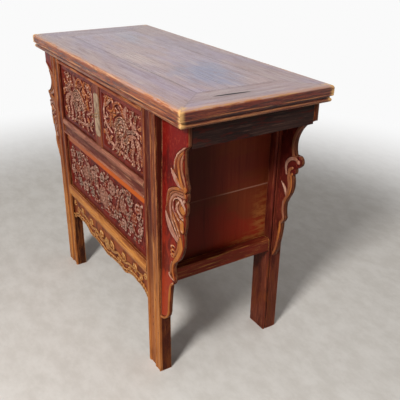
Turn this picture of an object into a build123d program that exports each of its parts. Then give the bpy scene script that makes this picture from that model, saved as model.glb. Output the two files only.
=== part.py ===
from build123d import *
import os

# Altar table: a mitred, moulded top on four legs, a cupboard with two carved pivot doors over a
# carved panel, a cusped apron, and wing spandrels that carry the overhanging ends.
# Millimetres. +X runs right along the front, +Y to the back, +Z up. The origin is on the floor
# below the centre of the top.

# ---- whole table
TABLE_H = 852.0          # floor to the top surface
TOP_L = 1050.0           # length of the top
TOP_D = 454.0            # depth of the top
TOP_T = 45.0             # thickness of the top's frame
END_OVERHANG = 143.0     # top beyond the legs at each end
FRONT_OVERHANG = 10.0    # top beyond the legs at the front and at the back

# ---- top: mitred frame round a floating panel
FRAME_W = 108.0          # width of each frame member
EDGE_ARRIS = 8.0         # worn rounding of the upper edge
EDGE_FACE = 22.0         # the surface down to the small bead of the moulded edge
EDGE_BEAD = 6.0          # height of the small bead
EDGE_QUIRK = 1.5         # how far the small bead's foot lies behind the face
EDGE_HOLLOW = 7.0        # how far the hollow is cut back at its deepest
EDGE_FOOT = 10.0         # height of the lower bead
EDGE_UNDER = 9.0         # how far the underside ends behind the face
PANEL_T = 22.0           # thickness of the floating panel
PANEL_GAP = 0.5          # open joint round the panel
TONGUE_T = 8.0           # thickness of a tongue
TONGUE_IN = 6.0          # how far a tongue or board edge is let in

# ---- legs
LEG_W = 74.0             # front leg, along the front
LEG_D = 38.0             # front leg, front to back
BACK_LEG_W = 72.0        # back leg, along the back
BACK_LEG_D = 48.0        # back leg, front to back
LEG_BEAD = 16.0          # width of the broad bead down the front face's inner edge
LEG_REED = 16.0          # width of the reed
LEG_FLAT = 13.0          # width of the flat between reed and corner bead
CORNER_BEAD = 6.0        # width of the bead on the outer corner
LEG_SUNK = 4.0           # depth of the wide flute between broad bead and reed
FLAT_SUNK = 1.5          # depth of the flat
BACK_BEAD = 10.0         # width of the bead on a back leg's outer corner
CORNER_QUIRK = 3.0       # groove behind the leg's outer corner bead
LEG_TENON_L = 25.0       # tenon into the top
LEG_TENON_W = 40.0
LEG_TENON_T = 16.0

# ---- front frame, upwards from the floor
CLEAR_H = 305.0          # floor to the underside of the lower rails
LOWER_RAIL_H = 42.0
MID_RAIL_H = 52.0
DOORWAY_H = 190.0        # clear height of the door openings
TOP_RAIL_H = 17.0
TOP_RAIL_BEAD = 10.0     # bead along the foot of the top rail
RAIL_TENON_L = 18.0      # rail tenon let into a leg
RAIL_TENON_T = 12.0
RAIL_CROWN = 4.0         # how far a rail's rounded face stands out
MID_BEAD = 8.0           # small lower bead of the middle rail
MID_ROLL = 23.0          # large upper bead of the middle rail
FIELD_RECESS = 6.0       # doors, post and carved panel lie this far behind the legs' front

# ---- centre post and its lock plate
POST_W = 46.0
POST_D = 24.0
POST_BEAD = 5.0
POST_TENON_L = 10.0
POST_TENON_W = 26.0
POST_TENON_T = 10.0
PLATE_W = 36.0
PLATE_H = 132.0
PLATE_T = 1.5
PLATE_DROP = 28.0        # top of the doorway to the top of the plate
PLATE_CORNER = 12.0
EYE_WIRE = 4.0           # wire of the lock eye
EYE_R = 5.0              # bend of the eye, to the wire's centre
EYE_OUT = 7.5            # straight part of the eye in front of the plate
EYE_IN = 14.0            # each leg of the eye runs this far into the post

# ---- doors
DOOR_T = 20.0
DOOR_GAP = 1.5           # clearance all round a door
DOOR_MARGIN = 14.0       # width of the sloping margin round the carved field
DOOR_RISE = 2.5          # how far the field stands above the door's edge
HINGE_BACK_R = 9.0       # rounding of the hinge edge, back
HINGE_FRONT_R = 4.0      # rounding of the hinge edge, front
PIVOT_R = 5.0
PIVOT_L = 11.0           # length of a pivot beyond the door's edge
PIVOT_FIT = 0.05         # radial clearance of a pivot in its socket
SOCKET_SPARE = 1.5       # socket depth past the pivot's end

# ---- carved panel below the doors, and the apron
CARVED_T = 18.0
CARVED_MARGIN = 24.0
CARVED_RISE = 6.0
APRON_H = 98.0           # at the middle, the deepest point
APRON_T = 14.0
APRON_RECESS = 8.0       # behind the legs' front

# ---- sides and back
BOARD_T = 12.0
SIDE_RECESS = 28.0       # side boards behind the legs' outer face
BACK_RECESS = 18.0       # back boards behind the back legs' face
SIDE_RAIL_D = 46.0
SIDE_TENON_L = 12.0      # side rail tenon let into a leg
UPPER_RAIL_H = 32.0      # side and back rails under the top
LOWER_BOARD_H = 178.0    # lower side and back boards, above the lower rails
RAIL_ARRIS = 3.0         # worn rounding on the outer edges of a plain rail
SEAM = 0.6               # open joint between two boards

# ---- floor of the carcase
FLOOR_T = 12.0
FLOOR_DROP = 12.0        # floor surface below the lower rails' tops

# ---- wing spandrels and the end boards between them
WING_W = 124.0           # reach outwards from the leg
WING_T = 17.0
WING_RECESS = 17.0       # behind the legs' front, and the same at the back
WING_SHOULDER = 50.0     # height of the square shoulder under the top
WING_TONGUE = 5.0
FRONT_WING_H = 602.0     # height down from the top
BACK_WING_H = 525.0
WING_LEAN = 13.0         # how far the foot of the right front wing comes forward
WING_LEAN_T = 12.0       # its thickness at the foot
END_BOARD_H = 57.0
END_BOARD_T = 14.0

# Outer edge of a wing below its shoulder: each run is an arc through one point to the next, as
# shares of the wing's reach and of its height below the shoulder.
RIGHT_WING_RUNS = (
    ((0.900, 0.020), (0.875, 0.060)),    # hollow, upper quarter
    ((0.900, 0.125), (1.000, 0.185)),    # hollow, long lower quarter along the first leaf
    ((1.012, 0.199), (0.968, 0.214)),    # first leaf, tip
    ((1.010, 0.236), (0.960, 0.261)),    # scroll, upper lobe
    ((1.000, 0.290), (0.944, 0.330)),    # scroll, middle lobe
    ((0.960, 0.371), (0.911, 0.426)),    # scroll, lower lobe
    ((0.935, 0.471), (0.895, 0.513)),    # second leaf, swell
    ((0.800, 0.562), (0.613, 0.605)),    # neck
    ((0.540, 0.649), (0.613, 0.696)),    # small curl, back
    ((0.575, 0.728), (0.460, 0.752)),    # small curl, underside
    ((0.420, 0.833), (0.403, 0.917)),    # stem
    ((0.290, 0.970), (0.000, 1.000)),    # blunt foot
)
FRONT_WING_RUNS = (
    ((0.742, 0.034), (0.597, 0.100)),    # hollow below the shoulder
    ((0.661, 0.150), (0.919, 0.187)),    # first leaf, back
    ((0.952, 0.203), (0.887, 0.217)),    # first leaf, tip
    ((0.850, 0.229), (0.839, 0.244)),    # first leaf, underside
    ((0.911, 0.268), (0.815, 0.299)),    # scroll, upper lobe
    ((0.865, 0.339), (0.790, 0.394)),    # scroll, middle lobe
    ((0.742, 0.438), (0.661, 0.484)),    # scroll, lower lobe
    ((0.700, 0.534), (0.597, 0.581)),    # second leaf, swell
    ((0.468, 0.625), (0.339, 0.661)),    # neck
    ((0.290, 0.694), (0.387, 0.733)),    # small curl, back
    ((0.290, 0.756), (0.234, 0.788)),    # small curl, underside
    ((0.202, 0.846), (0.185, 0.909)),    # stem
    ((0.137, 0.964), (0.000, 1.000)),    # rounded foot
)
BACK_WING_RUNS = (
    ((0.677, 0.059), (0.492, 0.143)),    # hollow below the shoulder
    ((0.468, 0.200), (0.516, 0.253)),    # hollow, lower half
    ((0.581, 0.246), (0.653, 0.246)),    # leaf, top
    ((0.734, 0.272), (0.694, 0.303)),    # leaf, tip
    ((0.621, 0.320), (0.540, 0.331)),    # leaf, underside
    ((0.556, 0.349), (0.524, 0.368)),    # bud
    ((0.492, 0.374), (0.468, 0.381)),    # bud, underside
    ((0.508, 0.446), (0.435, 0.514)),    # belly
    ((0.363, 0.547), (0.298, 0.583)),    # neck
    ((0.290, 0.632), (0.331, 0.682)),    # curl, back
    ((0.298, 0.707), (0.234, 0.728)),    # curl, underside
    ((0.218, 0.800), (0.161, 0.884)),    # stem
    ((0.105, 0.947), (0.000, 1.000)),    # rounded foot
)

# Lower edge of the apron from the leg to the middle, as shares of half its length and its height.
APRON_FOOT_SHARE = 0.93  # height of the foot beside the leg
APRON_RUNS = (
    ((0.960, 0.925), (0.930, 0.850)),    # foot
    ((0.870, 0.760), (0.750, 0.745)),    # first hollow, outer half
    ((0.600, 0.735), (0.505, 0.860)),    # first hollow, inner half
    ((0.440, 0.905), (0.370, 0.875)),    # cusp
    ((0.200, 0.900), (0.000, 1.000)),    # long sweep to the middle
)

# ---- levels and planes worked out from the sizes above
UNDER_TOP = TABLE_H - TOP_T
LOWER_RAIL_TOP = CLEAR_H + LOWER_RAIL_H
DOORWAY_TOP = UNDER_TOP - TOP_RAIL_H
DOORWAY_FOOT = DOORWAY_TOP - DOORWAY_H
MID_RAIL_FOOT = DOORWAY_FOOT - MID_RAIL_H
UPPER_RAIL_FOOT = UNDER_TOP - UPPER_RAIL_H
SEAM_Z = LOWER_RAIL_TOP + LOWER_BOARD_H

LEG_OUT = TOP_L / 2 - END_OVERHANG
LEG_IN = LEG_OUT - LEG_W
BACK_LEG_IN = LEG_OUT - BACK_LEG_W
FRONT = FRONT_OVERHANG - TOP_D / 2
BACK = -FRONT
FRONT_LEG_BACK = FRONT + LEG_D
BACK_LEG_FRONT = BACK - BACK_LEG_D
FIELD_Y = FRONT + FIELD_RECESS
SIDE_FACE = LEG_OUT - SIDE_RECESS
SIDE_INNER = SIDE_FACE - BOARD_T
SIDE_RAIL_IN = LEG_OUT - SIDE_RAIL_D
BACK_FACE = BACK - BACK_RECESS
BACK_INNER = BACK_FACE - BOARD_T
POST_SIDE = POST_W / 2
WING_FRONT = FRONT + WING_RECESS
WING_BACK = WING_FRONT + WING_T
WING_END = LEG_OUT + WING_W
PANEL_X = TOP_L / 2 - FRAME_W
PANEL_Y = TOP_D / 2 - FRAME_W

os.makedirs("parts", exist_ok=True)


def save(piece, name):
    """Label a finished sub-part and write it as parts/NAME.step."""
    piece.part.label = name
    export_step(piece.part, f"parts/{name}.step")


def block(xs, ys, zs, mode=Mode.ADD):
    """A plain block between two limits along each axis."""
    middle = ((xs[0] + xs[1]) / 2, (ys[0] + ys[1]) / 2, (zs[0] + zs[1]) / 2)
    with Locations(middle):
        Box(abs(xs[1] - xs[0]), abs(ys[1] - ys[0]), abs(zs[1] - zs[0]), mode=mode)


def arcs(start, runs, place):
    """A chain of arcs from start, each through one point of a run to its other; returns the end."""
    here = place(*start)
    for through, to in runs:
        ThreePointArc(here, place(*through), place(*to))
        here = place(*to)
    return here


def fitted(blank, members):
    """The blank with a mortise, groove or housing cut for each member that enters it."""
    with BuildPart() as piece:
        add(blank.part)
        for member in members:
            add(member.part, mode=Mode.SUBTRACT)
    return piece


def mirrored(piece, about=Plane.YZ):
    """The same sub-part on the other side of the table."""
    with BuildPart() as other:
        mirror(piece.part, about=about)
    return other


# ---- top panel: a board with a tongue all round its lower half
with BuildPart() as top_panel:
    panel_lip_x = PANEL_X - PANEL_GAP
    panel_lip_y = PANEL_Y - PANEL_GAP
    tongue_x = PANEL_X + TONGUE_IN
    tongue_y = PANEL_Y + TONGUE_IN
    panel_foot = TABLE_H - PANEL_T
    block((-panel_lip_x, panel_lip_x), (-panel_lip_y, panel_lip_y), (panel_foot, TABLE_H))
    block((-tongue_x, tongue_x), (-tongue_y, tongue_y), (panel_foot, panel_foot + TONGUE_T))


def top_member(outward, reach, half_length):
    """One moulded member of the top's frame, mitred at both ends; outward points to its moulding."""
    outward = Vector(outward)
    along = outward.cross(Vector(0, 0, 1))
    bead_foot = -EDGE_FACE - EDGE_BEAD
    foot_top = -TOP_T + EDGE_FOOT
    arris_middle = EDGE_ARRIS * (1 - 0.5 ** 0.5)
    with BuildPart() as member:
        section_plane = Plane(outward * reach + Vector(0, 0, TABLE_H), x_dir=outward, z_dir=along)
        with BuildSketch(section_plane):
            with BuildLine():
                Line((-EDGE_ARRIS, 0), (-FRAME_W, 0))
                Line((-FRAME_W, 0), (-FRAME_W, -TOP_T))
                Line((-FRAME_W, -TOP_T), (-EDGE_UNDER, -TOP_T))
                ThreePointArc((-EDGE_UNDER, -TOP_T), (-2 * EDGE_QUIRK, -TOP_T + 0.6 * EDGE_FOOT),
                              (-3 * EDGE_QUIRK, foot_top))
                ThreePointArc((-3 * EDGE_QUIRK, foot_top), (-EDGE_HOLLOW, (foot_top + bead_foot) / 2),
                              (-2 * EDGE_QUIRK, bead_foot))
                Line((-2 * EDGE_QUIRK, bead_foot), (-EDGE_QUIRK, bead_foot))
                ThreePointArc((-EDGE_QUIRK, bead_foot), (0, bead_foot + EDGE_BEAD / 2), (-EDGE_QUIRK, -EDGE_FACE))
                Line((-EDGE_QUIRK, -EDGE_FACE), (0, -EDGE_FACE))
                Line((0, -EDGE_FACE), (0, -EDGE_ARRIS))
                ThreePointArc((0, -EDGE_ARRIS), (-arris_middle, -arris_middle), (-EDGE_ARRIS, 0))
            make_face()
        extrude(amount=half_length, both=True)
        for end in (1, -1):
            corner = outward * reach + along * (end * half_length)
            mitre = Plane(corner, z_dir=along * end - outward)
            split(bisect_by=mitre, keep=Keep.BOTTOM)
    return member


# ---- legs, before their mortises
leg_front_middle = (LEG_IN + LEG_OUT) / 2
leg_depth_middle = (FRONT + FRONT_LEG_BACK) / 2
with BuildPart() as leg_front_blank:
    sunk_y = FRONT + LEG_SUNK
    flat_y = FRONT + FLAT_SUNK
    bead_y = FRONT + CORNER_BEAD / 2
    quirk_y = bead_y + CORNER_QUIRK / 2
    broad_bead = LEG_IN + LEG_BEAD
    outer_bead = LEG_OUT - CORNER_BEAD
    reed_out = outer_bead - LEG_FLAT
    reed_in = reed_out - LEG_REED
    with BuildSketch(Plane.XY):
        with BuildLine():
            Line((LEG_IN, FRONT_LEG_BACK), (LEG_IN, sunk_y))
            ThreePointArc((LEG_IN, sunk_y), (LEG_IN + LEG_BEAD / 2, FRONT), (broad_bead, sunk_y))
            Line((broad_bead, sunk_y), (reed_in, sunk_y))
            ThreePointArc((reed_in, sunk_y), ((reed_in + reed_out) / 2, FRONT), (reed_out, sunk_y))
            Line((reed_out, sunk_y), (reed_out, flat_y))
            Line((reed_out, flat_y), (outer_bead, flat_y))
            Line((outer_bead, flat_y), (outer_bead, bead_y))
            ThreePointArc((outer_bead, bead_y), (LEG_OUT - CORNER_BEAD / 2, FRONT), (LEG_OUT, bead_y))
            Line((LEG_OUT, bead_y), (LEG_OUT - CORNER_QUIRK / 2, quirk_y))
            Line((LEG_OUT - CORNER_QUIRK / 2, quirk_y), (LEG_OUT, bead_y + CORNER_QUIRK))
            Line((LEG_OUT, bead_y + CORNER_QUIRK), (LEG_OUT, FRONT_LEG_BACK))
            Line((LEG_OUT, FRONT_LEG_BACK), (LEG_IN, FRONT_LEG_BACK))
        make_face()
    extrude(amount=UNDER_TOP)
    block((leg_front_middle - LEG_TENON_W / 2, leg_front_middle + LEG_TENON_W / 2),
          (leg_depth_middle - LEG_TENON_T / 2, leg_depth_middle + LEG_TENON_T / 2),
          (UNDER_TOP, UNDER_TOP + LEG_TENON_L))

back_leg_middle = (BACK_LEG_IN + LEG_OUT) / 2
back_leg_depth_middle = (BACK + BACK_LEG_FRONT) / 2
with BuildPart() as leg_back_blank:
    with BuildSketch(Plane.XY):
        with BuildLine():
            quirk_start = BACK_LEG_FRONT + BACK_BEAD
            Line((BACK_LEG_IN, BACK), (BACK_LEG_IN, BACK_LEG_FRONT))
            bead_start = LEG_OUT - BACK_BEAD / 2
            Line((BACK_LEG_IN, BACK_LEG_FRONT), (bead_start, BACK_LEG_FRONT))
            ThreePointArc((bead_start, BACK_LEG_FRONT), (LEG_OUT, BACK_LEG_FRONT + BACK_BEAD / 2),
                          (bead_start, quirk_start))
            Line((bead_start, quirk_start), (LEG_OUT, quirk_start + CORNER_QUIRK))
            Line((LEG_OUT, quirk_start + CORNER_QUIRK), (LEG_OUT, BACK))
            Line((LEG_OUT, BACK), (BACK_LEG_IN, BACK))
        make_face()
    extrude(amount=UNDER_TOP)
    block((back_leg_middle - LEG_TENON_W / 2, back_leg_middle + LEG_TENON_W / 2),
          (back_leg_depth_middle - LEG_TENON_T / 2, back_leg_depth_middle + LEG_TENON_T / 2),
          (UNDER_TOP, UNDER_TOP + LEG_TENON_L))


# ---- front rails: a moulded face between the legs, with a tenon at each end
def rail_tenons(half_length, y_middle, zs):
    """A tenon at both ends of a rail that runs along the front or the back."""
    for side in (1, -1):
        block((side * half_length, side * (half_length + RAIL_TENON_L)),
              (y_middle - RAIL_TENON_T / 2, y_middle + RAIL_TENON_T / 2), zs)


def front_rail(face_points, top, foot):
    """A front rail whose moulded face is drawn by face_points between foot and top."""
    with BuildPart() as rail:
        with BuildSketch(Plane.YZ.offset(-LEG_IN)):
            with BuildLine():
                end = face_points()
                Line(end, (FRONT_LEG_BACK, top))
                Line((FRONT_LEG_BACK, top), (FRONT_LEG_BACK, foot))
                Line((FRONT_LEG_BACK, foot), (FRONT + RAIL_CROWN, foot))
            make_face()
        extrude(amount=2 * LEG_IN)
        rail_tenons(LEG_IN, leg_depth_middle, (foot, top))
    return rail


def lower_face():
    """One broad rounded face."""
    end = (FRONT + RAIL_CROWN, LOWER_RAIL_TOP)
    ThreePointArc((FRONT + RAIL_CROWN, CLEAR_H), (FRONT, CLEAR_H + LOWER_RAIL_H / 2), end)
    return end


def middle_face():
    """A small bead below, a hollow, and a large roll that frames the doorways."""
    bead_top = MID_RAIL_FOOT + MID_BEAD
    roll_foot = DOORWAY_FOOT - MID_ROLL
    end = (FRONT + RAIL_CROWN, DOORWAY_FOOT)
    ThreePointArc((FRONT + RAIL_CROWN, MID_RAIL_FOOT), (FRONT, MID_RAIL_FOOT + MID_BEAD / 2),
                  (FRONT + RAIL_CROWN, bead_top))
    ThreePointArc((FRONT + RAIL_CROWN, bead_top), (FRONT + 1.5 * RAIL_CROWN, (bead_top + roll_foot) / 2),
                  (FRONT + RAIL_CROWN, roll_foot))
    ThreePointArc((FRONT + RAIL_CROWN, roll_foot), (FRONT, roll_foot + MID_ROLL / 2), end)
    return end


def top_face():
    """A bead over the doorways and a flat up to the top."""
    bead_top = DOORWAY_TOP + TOP_RAIL_BEAD
    end = (FRONT + RAIL_CROWN, UNDER_TOP)
    ThreePointArc((FRONT + RAIL_CROWN, DOORWAY_TOP), (FRONT, DOORWAY_TOP + TOP_RAIL_BEAD / 2),
                  (FRONT + RAIL_CROWN, bead_top))
    Line((FRONT + RAIL_CROWN, bead_top), end)
    return end


front_lower_blank = front_rail(lower_face, LOWER_RAIL_TOP, CLEAR_H)
front_mid_blank = front_rail(middle_face, DOORWAY_FOOT, MID_RAIL_FOOT)
front_top_blank = front_rail(top_face, UNDER_TOP, DOORWAY_TOP)


# ---- side and back rails, plain, with eased outer edges
def side_rail(foot, top):
    """The right-hand rail between front and back legs, with a tenon at each end."""
    tenon_x = (SIDE_FACE + LEG_OUT) / 2
    with BuildPart() as rail:
        block((SIDE_RAIL_IN, LEG_OUT), (FRONT_LEG_BACK, BACK_LEG_FRONT), (foot, top))
        outer_face = rail.faces().sort_by(Axis.X)[-1]
        fillet(outer_face.edges().filter_by(Axis.Y), RAIL_ARRIS)
        block((tenon_x - RAIL_TENON_T / 2, tenon_x + RAIL_TENON_T / 2),
              (FRONT_LEG_BACK - SIDE_TENON_L, BACK_LEG_FRONT + SIDE_TENON_L),
              (foot + RAIL_ARRIS, top - RAIL_ARRIS))
    return rail


def back_rail(foot, top):
    """A plain rail between the back legs."""
    with BuildPart() as rail:
        block((-BACK_LEG_IN, BACK_LEG_IN), (BACK_LEG_FRONT, BACK), (foot, top))
        rail_tenons(BACK_LEG_IN, back_leg_depth_middle, (foot, top))
    return rail


side_lower_blank = side_rail(CLEAR_H, LOWER_RAIL_TOP)
side_upper_blank = side_rail(UPPER_RAIL_FOOT, UNDER_TOP)
back_lower_blank = back_rail(CLEAR_H, LOWER_RAIL_TOP)
back_upper_blank = back_rail(UPPER_RAIL_FOOT, UNDER_TOP)


# ---- boards, let into grooves by their edges
def side_board(foot, top):
    """A right-hand side board, let into both legs."""
    with BuildPart() as board:
        block((SIDE_INNER, SIDE_FACE), (FRONT_LEG_BACK - TONGUE_IN, BACK_LEG_FRONT + TONGUE_IN), (foot, top))
    return board


def back_board(foot, top):
    """A back board, let into both back legs."""
    with BuildPart() as board:
        reach = BACK_LEG_IN + TONGUE_IN
        block((-reach, reach), (BACK_INNER, BACK_FACE), (foot, top))
    return board


side_low_board = side_board(LOWER_RAIL_TOP - TONGUE_IN, SEAM_Z - SEAM / 2)
side_high_board = side_board(SEAM_Z + SEAM / 2, UPPER_RAIL_FOOT + TONGUE_IN)
back_low_board = back_board(LOWER_RAIL_TOP - TONGUE_IN, SEAM_Z - SEAM / 2)
back_high_board = back_board(SEAM_Z + SEAM / 2, UPPER_RAIL_FOOT + TONGUE_IN)

with BuildPart() as carcase_floor_blank:
    floor_top = LOWER_RAIL_TOP - FLOOR_DROP
    floor_reach = SIDE_RAIL_IN + TONGUE_IN
    block((-floor_reach, floor_reach), (FRONT_LEG_BACK - TONGUE_IN, BACK_LEG_FRONT + TONGUE_IN),
          (floor_top - FLOOR_T, floor_top))
carcase_floor = fitted(carcase_floor_blank, [
    leg_front_blank, leg_back_blank, mirrored(leg_front_blank), mirrored(leg_back_blank)])

# ---- carved panel under the doors: a thick board, its raised field sloping back at the margins
with BuildPart() as carved_panel:
    slope_y = FIELD_Y + CARVED_RISE
    panel_middle = (LOWER_RAIL_TOP + MID_RAIL_FOOT) / 2
    opening_h = MID_RAIL_FOOT - LOWER_RAIL_TOP
    block((-LEG_IN - TONGUE_IN, LEG_IN + TONGUE_IN), (slope_y, slope_y + CARVED_T - CARVED_RISE),
          (LOWER_RAIL_TOP - TONGUE_IN, MID_RAIL_FOOT + TONGUE_IN))
    with BuildSketch(Plane.XZ.offset(-slope_y)):
        with Locations((0, panel_middle)):
            Rectangle(2 * LEG_IN, opening_h)
    with BuildSketch(Plane.XZ.offset(-FIELD_Y)):
        with Locations((0, panel_middle)):
            Rectangle(2 * (LEG_IN - CARVED_MARGIN), opening_h - 2 * CARVED_MARGIN)
    loft()

# ---- apron below the lower rail, with a cusped edge
with BuildPart() as apron:
    apron_face = FRONT + APRON_RECESS
    with BuildSketch(Plane.XZ.offset(-apron_face - APRON_T)):
        with BuildLine():
            def on_apron(along, down):
                return (along * LEG_IN, CLEAR_H - down * APRON_H)
            Line(on_apron(0, 0), on_apron(1, 0))
            Line(on_apron(1, 0), on_apron(1, APRON_FOOT_SHARE))
            last = arcs((1, APRON_FOOT_SHARE), APRON_RUNS, on_apron)
            Line(last, on_apron(0, 0))
        make_face()
        mirror(about=Plane.YZ)
    extrude(amount=APRON_T)
    block((-LEG_IN, LEG_IN), (apron_face + (APRON_T - TONGUE_T) / 2, apron_face + (APRON_T + TONGUE_T) / 2),
          (CLEAR_H, CLEAR_H + TONGUE_IN))

# ---- centre post between the doors
with BuildPart() as centre_post_blank:
    post_back = FIELD_Y + POST_D
    flat_x = POST_SIDE - POST_BEAD
    bead_foot = FIELD_Y + POST_BEAD / 2
    with BuildSketch(Plane.XY.offset(DOORWAY_FOOT)):
        with BuildLine():
            Line((0, post_back), (POST_SIDE, post_back))
            Line((POST_SIDE, post_back), (POST_SIDE, bead_foot))
            ThreePointArc((POST_SIDE, bead_foot), (POST_SIDE - POST_BEAD / 2, FIELD_Y), (flat_x, bead_foot))
            Line((flat_x, bead_foot), (flat_x, FIELD_Y))
            Line((flat_x, FIELD_Y), (0, FIELD_Y))
            Line((0, FIELD_Y), (0, post_back))
        make_face()
        mirror(about=Plane.YZ)
    extrude(amount=DOORWAY_H)
    post_middle = FIELD_Y + POST_D / 2
    block((-POST_TENON_W / 2, POST_TENON_W / 2),
          (post_middle - POST_TENON_T / 2, post_middle + POST_TENON_T / 2),
          (DOORWAY_FOOT - POST_TENON_L, DOORWAY_TOP + POST_TENON_L))

# ---- lock plate and the eye that a lock pin passes through
plate_top = DOORWAY_TOP - PLATE_DROP
plate_middle = plate_top - PLATE_H / 2
with BuildPart() as lock_eye:
    eye_bend = FIELD_Y - PLATE_T - EYE_OUT
    eye_end = FIELD_Y + EYE_IN
    with BuildLine(Plane.YZ) as eye_path:
        Line((eye_end, plate_middle + EYE_R), (eye_bend, plate_middle + EYE_R))
        ThreePointArc((eye_bend, plate_middle + EYE_R), (eye_bend - EYE_R, plate_middle),
                      (eye_bend, plate_middle - EYE_R))
        Line((eye_bend, plate_middle - EYE_R), (eye_end, plate_middle - EYE_R))
    with BuildSketch(Plane((0, eye_end, plate_middle + EYE_R), z_dir=(0, -1, 0))):
        Circle(EYE_WIRE / 2)
    sweep(path=eye_path.wires()[0])

with BuildPart() as lock_plate_blank:
    with BuildSketch(Plane.XZ.offset(-FIELD_Y)):
        with Locations((0, plate_middle)):
            RectangleRounded(PLATE_W, PLATE_H, PLATE_CORNER)
    extrude(amount=PLATE_T)

# ---- doors: each turns on wooden pivots worked on its outer edge
door_in = POST_SIDE + DOOR_GAP
door_out = LEG_IN - DOOR_GAP
door_foot = DOORWAY_FOOT + DOOR_GAP
door_top = DOORWAY_TOP - DOOR_GAP
pivot_x = door_out - DOOR_T / 2
pivot_y = FIELD_Y + DOOR_T / 2
with BuildPart() as door_right:
    edge_y = FIELD_Y + DOOR_RISE
    block((door_in, door_out), (edge_y, FIELD_Y + DOOR_T), (door_foot, door_top))
    hinge_edges = door_right.edges().filter_by(Axis.Z).group_by(Axis.X)[-1].sort_by(Axis.Y)
    fillet(hinge_edges[-1], HINGE_BACK_R)
    fillet(door_right.edges().filter_by(Axis.Z).group_by(Axis.X)[-1].sort_by(Axis.Y)[0], HINGE_FRONT_R)
    door_middle = ((door_in + door_out) / 2, (door_foot + door_top) / 2)
    margin_edge = HINGE_FRONT_R
    with BuildSketch(Plane.XZ.offset(-edge_y)):
        with Locations(door_middle):
            Rectangle(door_out - door_in - 2 * margin_edge, door_top - door_foot - 2 * margin_edge)
    with BuildSketch(Plane.XZ.offset(-FIELD_Y)):
        with Locations(door_middle):
            Rectangle(door_out - door_in - 2 * DOOR_MARGIN, door_top - door_foot - 2 * DOOR_MARGIN)
    loft()
    with BuildSketch(Plane.XY.offset(door_foot - PIVOT_L)):
        with Locations((pivot_x, pivot_y)):
            Circle(PIVOT_R)
    extrude(amount=door_top - door_foot + 2 * PIVOT_L)
door_left = mirrored(door_right)

with BuildPart() as pivot_sockets:
    with BuildSketch(Plane.XY.offset(door_foot - PIVOT_L - SOCKET_SPARE)):
        with Locations((pivot_x, pivot_y), (-pivot_x, pivot_y)):
            Circle(PIVOT_R + PIVOT_FIT)
    extrude(amount=door_top - door_foot + 2 * (PIVOT_L + SOCKET_SPARE))

# ---- wing spandrels, thin boards with a scrolled outer edge, tongued into the legs
def wing(front_y, height, runs, lean=0.0, foot_t=WING_T):
    """A right-hand wing whose front face lies at front_y at the end board, and whose foot comes
    forward by lean and is foot_t thick."""
    def place(out, down):
        return (LEG_OUT + out * WING_W, UNDER_TOP - WING_SHOULDER - down * (height - WING_SHOULDER))
    top_inner = (LEG_OUT, UNDER_TOP)
    top_outer = (LEG_OUT + WING_W, UNDER_TOP)
    bend_z = UNDER_TOP - END_BOARD_H
    foot_z = UNDER_TOP - height

    def slab(xs, front_top, back_top, front_foot, back_foot, low):
        """A slab between two limits along X, upright behind the end board and leaning below it."""
        share = (bend_z - low) / (bend_z - foot_z)
        with BuildSketch(Plane.YZ.offset(xs[0])) as profile:
            with BuildLine():
                Polyline((front_top, UNDER_TOP), (back_top, UNDER_TOP), (back_top, bend_z),
                         (back_top + (back_foot - back_top) * share, low),
                         (front_top + (front_foot - front_top) * share, low), (front_top, bend_z), close=True)
            make_face()
        extrude(profile.sketch, amount=xs[1] - xs[0])

    with BuildPart() as prism:
        with BuildSketch(Plane.XZ.offset(-front_y - WING_T)):
            with BuildLine():
                Line(place(0, 1), top_inner)
                Line(top_inner, top_outer)
                Line(top_outer, place(1, 0))
                arcs((1, 0), runs, place)
            make_face()
        extrude(amount=WING_T + 2 * lean)
    with BuildPart() as board:
        if lean:
            slab((LEG_OUT, LEG_OUT + 2 * WING_W), front_y, front_y + WING_T, front_y - lean, front_y - lean + foot_t, foot_z)
            add(prism.part, mode=Mode.INTERSECT)
            tongue_top = front_y + (WING_T - TONGUE_T) / 2
            tongue_foot = front_y - lean + (foot_t - TONGUE_T) / 2
            slab((LEG_OUT - WING_TONGUE, LEG_OUT), tongue_top, tongue_top + TONGUE_T, tongue_foot,
                 tongue_foot + TONGUE_T, foot_z + WING_TONGUE)
        else:
            add(prism.part)
            tongue_y = front_y + (WING_T - TONGUE_T) / 2
            block((LEG_OUT - WING_TONGUE, LEG_OUT), (tongue_y, tongue_y + TONGUE_T), (foot_z + WING_TONGUE, UNDER_TOP))
    return board


wing_front_right = wing(WING_FRONT, FRONT_WING_H, RIGHT_WING_RUNS, WING_LEAN, WING_LEAN_T)
wing_back_right = wing(-WING_BACK, BACK_WING_H, BACK_WING_RUNS)
wing_front_left = mirrored(wing(WING_FRONT, FRONT_WING_H, FRONT_WING_RUNS))
wing_back_left = mirrored(wing_back_right)

# ---- end boards close the overhang between front and back spandrels
with BuildPart() as end_board_right:
    block((WING_END - END_BOARD_T, WING_END), (WING_BACK, -WING_BACK), (UNDER_TOP - END_BOARD_H, UNDER_TOP))

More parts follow.
